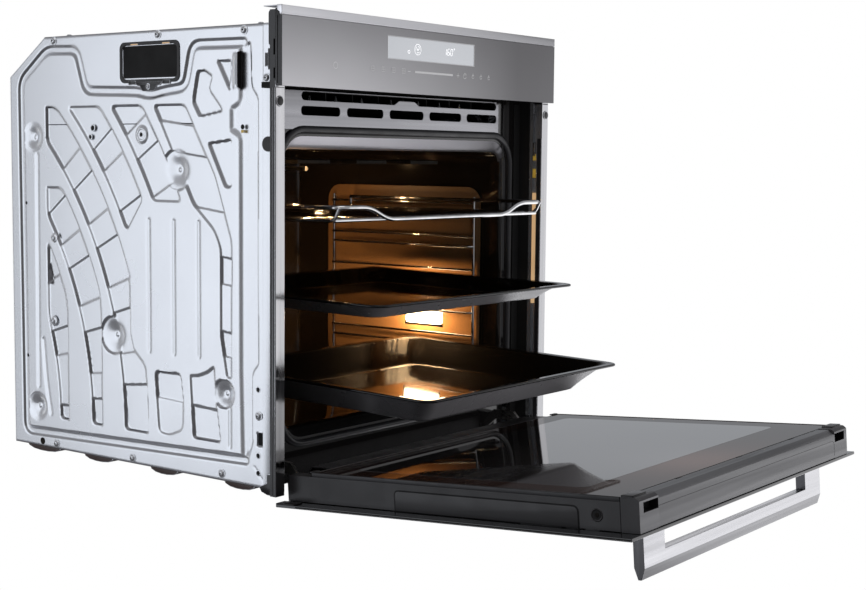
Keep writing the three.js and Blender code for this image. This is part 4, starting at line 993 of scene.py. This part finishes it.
def front_trims():
    for side in (-1, 1):
        obj = two_faced(refine("side_trim_" + word(side), "gloss_plastic"), (0, -1, 0), "trim")
        obj.data.materials.append(MAT["galv"])
        for polygon in obj.data.polygons:
            if polygon.center.y > place(0, 1, 0).y:
                polygon.material_index = 2
        parts = Parts(side=side)
        centre, front = (290.75, -10.2, 482), (0, -1, 0)
        parts.turned(centre, front, [(0, 0), (0, 6.6), (0.8, 6.2), (0.9, 5.4), (0.5, 5.0)], "trim", 28)
        parts.turned(centre, front, [(0.4, 5.2), (1.2, 4.8), (1.6, 3.2), (1.6, 0)], "plastic", 28)
        for y, width, look in ((-4.8, 1.0, "heater"), (-9.0, 0.7, "screw")):
            parts.block(297.3, 297.8, y, y + width, 4, 498, look, 0.2)
        parts.block(281.9, 281.3, -9.4, -2, 6, 447, "plastic", 0.3)
        # top end of the trim, under the control panel, with a near-black plate behind it for the shadow
        # there: painted shadow
        parts.block(282, 297.4, -10, -8.5, 497.5, 507, "trim", 0.3)
        parts.block(282, 297.0, -8.5, 14, 497.8, 505, "hole", 0)
        if side > 0:
            # strip beside the cavity drawn warm and glowing for the cavity light on it: painted light
            parts.block(281.4, 282.0, -2, 13, 198, 366, "warm_glow_label", 0.4)
            for z0, z1 in ((388, 402), (414, 424)):
                parts.block(281.2, 281.8, -1, 9, z0, z1, "brass", 0.3)
        parts.build("trim_details_" + word(side), "carcass", "dark_plastic")


front_trims()


VENT_X, VENT_Z0, VENT_Z1 = 219.0, 450.0, 499.0
VENT_ROLL = 0.45               # radius of the rolled edges


def vent_skin(loops, y):
    """A thin sheet in the x-z plane, its first loop the outline and the rest openings."""
    curve = bpy.data.curves.new("vent_plate_skin", "CURVE")
    curve.dimensions = "2D"
    curve.fill_mode = "BOTH"
    curve.extrude = 0.25 * MM
    curve.bevel_depth = VENT_ROLL * MM
    curve.bevel_resolution = 3
    curve.offset = -VENT_ROLL * MM
    for loop in loops:
        spline = curve.splines.new("POLY")
        spline.points.add(len(loop) - 1)
        for point, (x, z) in zip(spline.points, loop):
            point.co = (x * MM, z * MM, 0, 1)
        spline.use_cyclic_u = True
    curve.materials.append(MAT["vent"])
    obj = bpy.data.objects.new("vent_plate_skin", curve)
    obj.matrix_world = Matrix.Translation(place(0, y, 0)) @ Matrix.Rotation(math.pi / 2, 4, "X")
    publish(obj, "carcass")


def vent_plate():
    face = FLANGE_Y - 1.4
    slots = [rounded(x - 37, x + 37, 468.3, 479.7, 4.6) for x in range(-176, 177, 88)]
    mouth = (arc(-207, 492.5, 5.5, 90, 270) + [(-27, 487)] + arc(-15, 484.5, 8, 125, 90, 3)
             + arc(15, 484.5, 8, 90, 55, 3) + [(27, 487)] + arc(207, 492.5, 5.5, -90, 90))
    outline = [(-SIDE_X, VENT_Z0), (VENT_X, VENT_Z0), (VENT_X, 496), (213.5, 496), (213.5, VENT_Z1),
               (-SIDE_X, VENT_Z1)]
    vent_skin([outline, mouth] + slots, face)
    parts = Parts()
    # glossy lip of the outlet tray behind the upper opening, with its row of screws
    parts.block(-212, 212, face + 1, face + 24, 485.6, 487.2, "gloss_plastic", 0.5)
    parts.block(-212, 212, face - 0.4, face + 1.0, 497.2, 498.8, "heater", 0.5)
    for x in (-190, -140, -88, -26, 34, 82, 130):
        parts.turned((x, face + 7, 487.2), (0, 0, 1), [(0, 2.4), (1.4, 2.2), (6.5, 0.9), (7, 0)], "screw", 14)
    for x in (-262, -222):
        parts.block(x, x + 12, FLANGE_Y - 1.2, FLANGE_Y - 0.4, 448, 449.4, "gloss_plastic", 0.3)
    parts.block(231.5, 233.0, FLANGE_Y - 1.6, FLANGE_Y, 60, 500, "gloss_plastic", 0.5)
    # painted shade: near-black sheets in the gaps between the frame, the side panels and the trims
    for parts.side in (-1, 1):
        parts.block(277.45, 277.6, 9, FLANGE_Y, 6, 575, "hole", 0)
        parts.block(262, 277, FLANGE_Y - 0.9, FLANGE_Y - 0.3, 6, 498, "hole", 0)
    parts.build("front_frame_details", "carcass", "black_enamel")


vent_plate()
for frame_node, frame_slot, frame_look in (("front_frame", "black_enamel", "enamel"),
                                           ("control_carrier", "dark_plastic", "plastic"),
                                           ("base_pan", "black_enamel", "foot")):
    refine(frame_node, frame_look)


# ---------------------------------------------------------------- control panel
SEVEN = {"0": "abcdef", "1": "bc", "6": "afgedc"}
BARS = {"a": (0, 1, 1), "g": (0, 1, 0.5), "d": (0, 1, 0), "f": (1, 0, 0.75), "b": (1, 1, 0.75),
        "e": (1, 0, 0.25), "c": (1, 1, 0.25)}
DISPLAY = (-99.0, 92.0, 543.5, 572.8)


def digit(parts, text, x, z, width, height, y):
    """A leaning seven-segment figure."""
    t = 0.35
    for key in SEVEN[text]:
        upright, u, v = BARS[key]
        lean, cz = (v - 0.5) * 1.2, z + v * height
        if upright:
            cx = x + u * width + lean
            parts.block(cx - t, cx + t, y - 0.15, y, cz - height * 0.21, cz + height * 0.21, "symbol", 0)
        else:
            parts.block(x + 0.8 + lean, x + width - 0.8 + lean, y - 0.15, y, cz - t, cz + t, "symbol", 0)


def ring(parts, x, z, radius, width, y, material="symbol", start=0, sweep=360):
    n = max(6, int(sweep / 12))
    verts = [(a, y, b) for r in (radius, radius - width) for a, b in arc(x, z, r, start, start + sweep, n)]
    m = n + 1
    parts.add(verts, [(i, i + 1, m + i + 1, m + i) for i in range(n)], material)


def control_panel():
    two_faced(refine("control_fascia", "gloss_plastic", 0.35), (0, -1, 0), "fascia")
    refine("control_trim", "panel_trim")
    refine("display_window", "display", 0.2)
    parts = Parts()
    y = PANEL_FACE - 0.12
    lit = y - 0.1
    ring(parts, -36, 558.5, 7.2, 0.55, lit)
    for k in range(3):
        ring(parts, -36, 558.5, 4.6, 0.6, lit, start=120 * k, sweep=80)
    ring(parts, -36, 558.5, 1.4, 0.8, lit)
    ring(parts, -55, 554.5, 2.4, 0.7, lit)
    for k, text in enumerate("160"):
        digit(parts, text, 22.5 + 7 * k, 555, 4.4, 8.5, lit)
    ring(parts, 45, 564, 1.2, 0.6, lit)
    ring(parts, -201, 529, 4.4, 0.9, y, "icon")
    def icon(xa, xb, za, zb):
        parts.block(xa, xb, y - 0.1, y, za, zb, "icon", 0)
    for k in range(4):
        x = -129 + 21 * k
        for step in (-3, 0, 3):
            icon(x - 3, x + 3, 528.8 + step, 529.3 + step)
            icon(x - 0.3 + step, x + 0.3 + step, 526, 532)
    for x in (-54, 54):
        icon(x - 3, x + 3, 528.6, 529.4)
    icon(53.6, 54.4, 526, 532)
    icon(-42, 42, 527.7, 530.3)
    for k in range(4):
        x = 70 + 19 * k
        ring(parts, x, 529, 3.8 if k == 0 else 2.6, 0.7, y, "icon", 20, 320)
        icon(x - 0.4, x + 0.4, 529, 533.4)
    x0, x1, z0, z1 = DISPLAY
    edge = [(x0, z0), (x1, z0), (x1, z1), (x0, z1)]
    for (xa, za), (xb, zb) in zip(edge, edge[1:] + edge[:1]):
        parts.block(min(xa, xb) - 0.3, max(xa, xb) + 0.3, y - 0.1, y + 0.1, min(za, zb) - 0.3,
                    max(za, zb) + 0.3, "icon", 0)
    parts.build("panel_symbols", "carcass", "dark_plastic")
    ends = Parts()
    # end plate of the panel: folded edges, a mid line, clips and the turned end of the top strip
    x = -FRONT_HALF
    ends.block(x + 0.1, x + 1.6, -16.5, -9.0, 501, 591, "gloss_plastic", 0.3)
    ends.block(x + 0.1, x - 0.5, -13.0, -12.2, 503, 583, "heater", 0.2)
    turned_end = [(-20.2, 583.8), (-20.2, 595.2), (-12.5, 595.2), (-12.5, 589)]
    ends.prism(turned_end, "x", x - 0.5, x + 0.5, "panel_trim", 0.3)
    for z0, z1 in ((536, 556), (508, 522)):
        ends.block(x, x + 3, -9.6, -5.5, z0, z1, "plastic", 0.6)
    ends.build("panel_end_details", "carcass", "dark_plastic")


control_panel()


# ---------------------------------------------------------------- door
# From the hinge to the handle end, at rest.
DOOR_UP = Vector((0, -math.sin(DOOR_OPEN), math.cos(DOOR_OPEN)))
RAIL_X, DOOR_END = 276.5, 494.5
BOSS = (0.6, 443.3)            # screw boss on the side of the rail


def door_end():
    """Grey end profile with its black corner caps and their pockets."""
    z0, z1 = 472.0, DOOR_END
    profile = [(-15.6, z0), (-15.6, z1 - 0.4), (-15.2, z1), (14.4, z1), (15.3, z1 - 0.5), (20.7, z1 - 6.9),
               (21, z1 - 7.8), (21, z0)]
    parts = Parts(place_door)
    parts.prism(profile, "x", -236, 236, "profile")
    parts.build("door_end_fine", "door", "satin_steel", node="door_top_profile")
    low = [(-15.6, z0), (-15.6, z1), (5.0, z1), (5.0, z0)]
    high = [(16.0, z0), (16.0, z1), (18.2, z1), (20.6, z1 - 2.8), (21.8, z1 - 5.0), (21.8, z0)]
    back = [(5.0, z0), (5.0, z1 - 11), (16.0, z1 - 11), (16.0, z0)]
    whole = low[:2] + high[1:]
    for side in (-1, 1):
        cap = Parts(place_door, side)
        cap.prism(whole, "x", 268, 276.0, "door_side")
        cap.prism(whole, "x", 276.0, RAIL_X, "door_side")
        cap.prism(whole[:2] + high[1:3] + [(20.7, z1 - 6.9), (21, z0)], "x", 236, 236.6, "door_side")
        # the pocket behind each cap is near black: painted shade
        for outline, look in ((low, "door_side"), (high, "door_side"), (back, "hole")):
            cap.prism(outline, "x", 236.6, 268, look)
        obj = cap.build("door_cap_fine_" + word(side), "door", "dark_plastic",
                        node="door_end_cap_" + word(side))
        two_faced(obj, DOOR_UP, "profile", 0.95)
        pocket = place_door(0, 10.5, z1 - 11)
        for polygon in obj.data.polygons:
            if polygon.normal.dot(DOOR_UP) > 0.95 and (polygon.center - pocket).dot(DOOR_UP) < MM:
                polygon.material_index = 1


def door_skin():
    refine("door_outer_glass", "black_glass", 0.8)
    refine("door_inner_glass", "inner_glass")
    for node in ("door_rail_left", "door_rail_right", "door_bottom_rail"):
        refine(node, "door_side", 0.6)
    door_end()
    handle = refine("door_handle", "handle")
    # painted shade: the end faces and the faces looking down get the darker copies of the handle steel
    for way, look, limit in (((-1, 0, 0), "handle_end_shade", 0.9), ((1, 0, 0), "handle_end_shade", 0.9),
                             ((0, -0.97, -0.25), "handle_underside_shade", 0.995), ((0, 0.92, -0.4), "handle_underside_shade", 0.995),
                             ((0, -0.08, -1), "handle_underside_shade", 0.98)):
        two_faced(handle, way, look, limit)
    parts = Parts(place_door)
    face, end = RAIL_X, DOOR_END
    cover = [(-15.4, 171)] + arc(3.0, 176, 5, -90, 0, 4) + arc(2.0, 414, 6, 0, 90, 4) + [(-15.4, 420)]
    groove = ([(-15.6, 169.8)] + arc(3.0, 176, 6.2, -90, 0, 4) + arc(2.0, 414, 7.2, 0, 90, 4)
              + [(-15.6, 421.2)])
    boss = [(0, 0), (0, 7.4), (0.3, 7.2), (0.9, 6.4), (0.5, 5.6), (0.3, 5.2)]
    for parts.side in (-1, 1):
        # the groove round the cover and the boss recess are near black: painted shade
        parts.prism(groove, "x", face - 0.2, face + 0.25, "hole")
        parts.prism(cover, "x", face, face + 0.7, "door_side", 0.5)
        parts.turned((face, *BOSS), OUT, boss, "door_side", 26)
        parts.turned((face + 0.1, *BOSS), OUT, [(0, 0), (0, 5.2), (0.25, 5.0), (0.25, 0)], "hole", 26)
        parts.turned((face + 0.4, *BOSS), OUT, [(0, 0), (0, 2.8), (0.7, 2.2), (0.7, 0)], "heater", 6)
        # lower edge of the rail over the outer glass: clip pads in a dark gap
        for z0, z1, look in ((168, 196, "heater"), (404, 420, "door_side"), (346, 398, "plastic"),
                             (428, 446, "plastic")):
            parts.block(face - 2.5, face + 0.2, -16.2, -14.8, z0, z1, look, 0.3)
        # flap at the hinge end of the outer glass and its ground edge
        parts.block(282, 297.6, -16.2, -14.6, 0.6, 30, "door_side", 0.5)
        parts.block(297.0, 297.7, -18.6, -17.2, 32, 495, "heater", 0.2)
        # thin rubber line between the rail and the inner glass
        parts.block(face - 2.2, face - 0.6, 16.4, 21.6, 42, 471, "rubber", 0.5)
        # cap lug that stands above the inner glass, and the glass's seat corner at the hinge end
        parts.block(248, 275.8, 20.6, 23.6, 472.4, 487, "door_side", 0.7)
        parts.block(262, 275, 20.8, 22.4, 38, 44, "door_side", 0.5)
    # seam of the end face, with its turned-down end
    parts.block(-236, 228, 7.0, 7.6, end - 0.1, end + 0.12, "seam", 0)
    turn = arc(228, 1.0, 6.6, 0, 90, 5) + arc(228, 1.0, 6.0, 90, 0, 5)
    parts.prism(turn, "z", end - 0.1, end + 0.12, "seam")
    parts.block(234, 234.6, -12, 1.0, end - 0.1, end + 0.12, "seam", 0)
    # near-black pockets and line along the inner glass: painted shade
    for x in (-150, 0, 150):
        parts.block(x - 7, x + 7, 19.8, 21.3, 471.2, 474.0, "hole", 0.2)
    parts.block(-262, 262, 20.6, 21.25, 471.6, 472.6, "hole", 0)
    parts.build("door_details", "door", "dark_plastic")
    # clear window of the inner glass inside its printed border
    glass = Parts(place_door)
    glass.prism(rounded(-240, 240, 82, 408, 10), "y", 20.9, 21.12, "window")
    glass.build("inner_glass_window", "door", "clear_glass")


door_skin()


DISC_Z = 215                   # height of the disc over the fan motor


def cover_details():
    """Screws, pressed ribs and the fan motor's dished disc on the rear and top covers."""
    parts = Parts()
    rear, top, behind, above = BODY_REAR, BODY_TOP, (0, 1, 0), (0, 0, 1)
    for x, z in ([(x, z) for x in (-268, -90, 90, 268) for z in (16, 512)]
                 + [(x, z) for x in (-268, 268) for z in (180, 345)]):
        parts.screw((x, rear - 0.2, z), behind, 4.0)
    disc = [(0, 112), (1.6, 106), (1.6, 88), (0.5, 82), (0.5, 40), (1.8, 34), (1.8, 0)]
    parts.turned((0, rear - 0.3, DISC_Z), behind, disc, "galv_cover", 64)
    for k in range(4):
        a = math.radians(45 + 90 * k)
        parts.screw((97 * math.cos(a), rear + 1.2, DISC_Z + 97 * math.sin(a)), behind, 3.4)
    for x in (-190, 190):
        parts.prism(rounded(x - 7, x + 7, 60, 330, 6.5), "y", rear - 0.4, rear + 1.2, "galv_cover", 0.8)
    for x in (-262, -88, 88, 262):
        for y in (48, 410):
            parts.screw((x, y, top - 0.2), above, 4.0)
    for x in (-150, -75, 0, 75, 150):
        parts.prism(rounded(x - 5, x + 5, 70, 190, 4.8), "z", top - 0.4, top + 1.0, "galv_cover", 0.7)
    parts.build("cover_details", "carcass", "galvanised_steel")


cover_details()


# ---------------------------------------------------------------- CAD nodes that keep their shape
DEFAULT_LOOK = {
    "galvanised_steel": "galv", "satin_steel": "satin_x", "black_enamel": "enamel", "liner_enamel": "liner",
    "chrome_wire": "chrome", "black_glass": "black_glass", "clear_glass": "window", "panel_glass": "fascia",
    "lamp_glass": "lamp", "dark_plastic": "plastic", "seal_rubber": "rubber", "mineral_wool": "wool",
    "heater_steel": "heater", "nickel_steel": "nickel", "circuit_board": "board",
}
# painted shade: the air duct and the blower tray inside the outlet are drawn near black
OWN_LOOK = {"air_duct": "hole", "blower_tray": "hole", "fan_baffle": "enamel_cavity"}
for node, obj in frame["nodes"].items():
    slot = obj.data.materials[0].name
    obj.data.materials.clear()
    obj.data.materials.append(MAT[OWN_LOOK.get(node, DEFAULT_LOOK[slot])])


# ---------------------------------------------------------------- surroundings
def point_light(name, x, y, z, power, color, radius, mirrored):
    data = bpy.data.lights.new(name, "POINT")
    data.energy = power
    data.color = color
    data.shadow_soft_size = radius
    light = bpy.data.objects.new(name, data)
    light.location = place(x, y, z)
    light.visible_glossy = mirrored
    bpy.context.scene.collection.objects.link(light)


def card(name, direction, distance, width, height, level):
    """A glowing or dark card round the oven that only lights and reflects."""
    material = bpy.data.materials.new(name)
    material.use_nodes = True
    nodes = material.node_tree.nodes
    nodes.remove(nodes["Principled BSDF"])
    glow = nodes.new("ShaderNodeEmission")
    glow.inputs["Color"].default_value = (*level, 1)
    surface_in = nodes["Material Output"].inputs["Surface"]
    material.node_tree.links.new(glow.outputs["Emission"], surface_in)
    mesh = bpy.data.meshes.new(name)
    w, h = width / 2, height / 2
    mesh.from_pydata([(-w, -h, 0), (w, -h, 0), (w, h, 0), (-w, h, 0)], [], [(0, 1, 2, 3)])
    mesh.materials.append(material)
    obj = bpy.data.objects.new(name, mesh)
    way = Vector(direction).normalized()
    obj.location = way * distance + Vector((0, 0, 0.25))
    obj.rotation_euler = (-way).to_track_quat("Z", "Y").to_euler()
    bpy.context.scene.collection.objects.link(obj)
    obj.visible_camera = False
    return obj


def make_world():
    world = bpy.data.worlds.new("studio")
    world.use_nodes = True
    background = world.node_tree.nodes["Background"]
    background.inputs["Color"].default_value = (1, 1, 1, 1)
    background.inputs["Strength"].default_value = 1.0
    bpy.context.scene.world = world
    bpy.context.scene.view_settings.view_transform = "Standard"


make_world()
# Five dim cards all round: what the steel and the enamel mirror where no bright card stands.
for k, way in enumerate(((1, 0, 0), (-1, 0, 0), (0, 1, 0), (0, -1, 0), (0, 0, 1))):
    card(f"dim_card_{k}", way, 4.5, 9.1, 9.1, (0.33, 0.33, 0.345))
DOWN = (0, 0, -1)
card("card_floor", DOWN, 1.9, 9, 9, (0.14, 0.14, 0.15))
card("card_left_back", (-0.897, 0.442, 0.012), 3.25, 2.9, 2.3, (1.10, 1.14, 1.22))
card("card_back", (0, 1, 0), 3.4, 1.8, 4.0, WHITE)
card("card_left_front", (-0.87, -0.5, 0.0), 3.0, 2.8, 2.6, (0.13, 0.125, 0.125))
card("card_right_back", (0.82, 0.52, 0.14), 3.4, 3.4, 2.2, (0.44, 0.455, 0.48))
card("card_right_front", (0.80, -0.60, -0.04), 2.6, 2.0, 1.5, (1.1, 1.1, 1.12))
right_low = card("card_right_low", DOWN, 0.7, 2.1, 2.6, (1.6, 1.6, 1.65))
right_low.location.x, right_low.location.y = 1.55, -0.45
card("card_overhead", (-0.1, -0.3, 1), 2.6, 2.0, 2.0, (1.2, 1.2, 1.2))
WARM = (1.0, 0.60, 0.28)
point_light("lamp_glow", 205, 173, 184, 3.4, WARM, 0.012, False)
point_light("tray_fill", -40, -430, 165, 3.0, (1.0, 0.98, 1.0), 0.06, False)
point_light("baffle_glow", 60, 330, 220, 0.9, WARM, 0.012, False)
point_light("ceiling_glint", 120, 300, 405, 0.30, WARM, 0.004, True)
point_light("left_glint", -205, 60, 392, 0.16, WARM, 0.004, True)
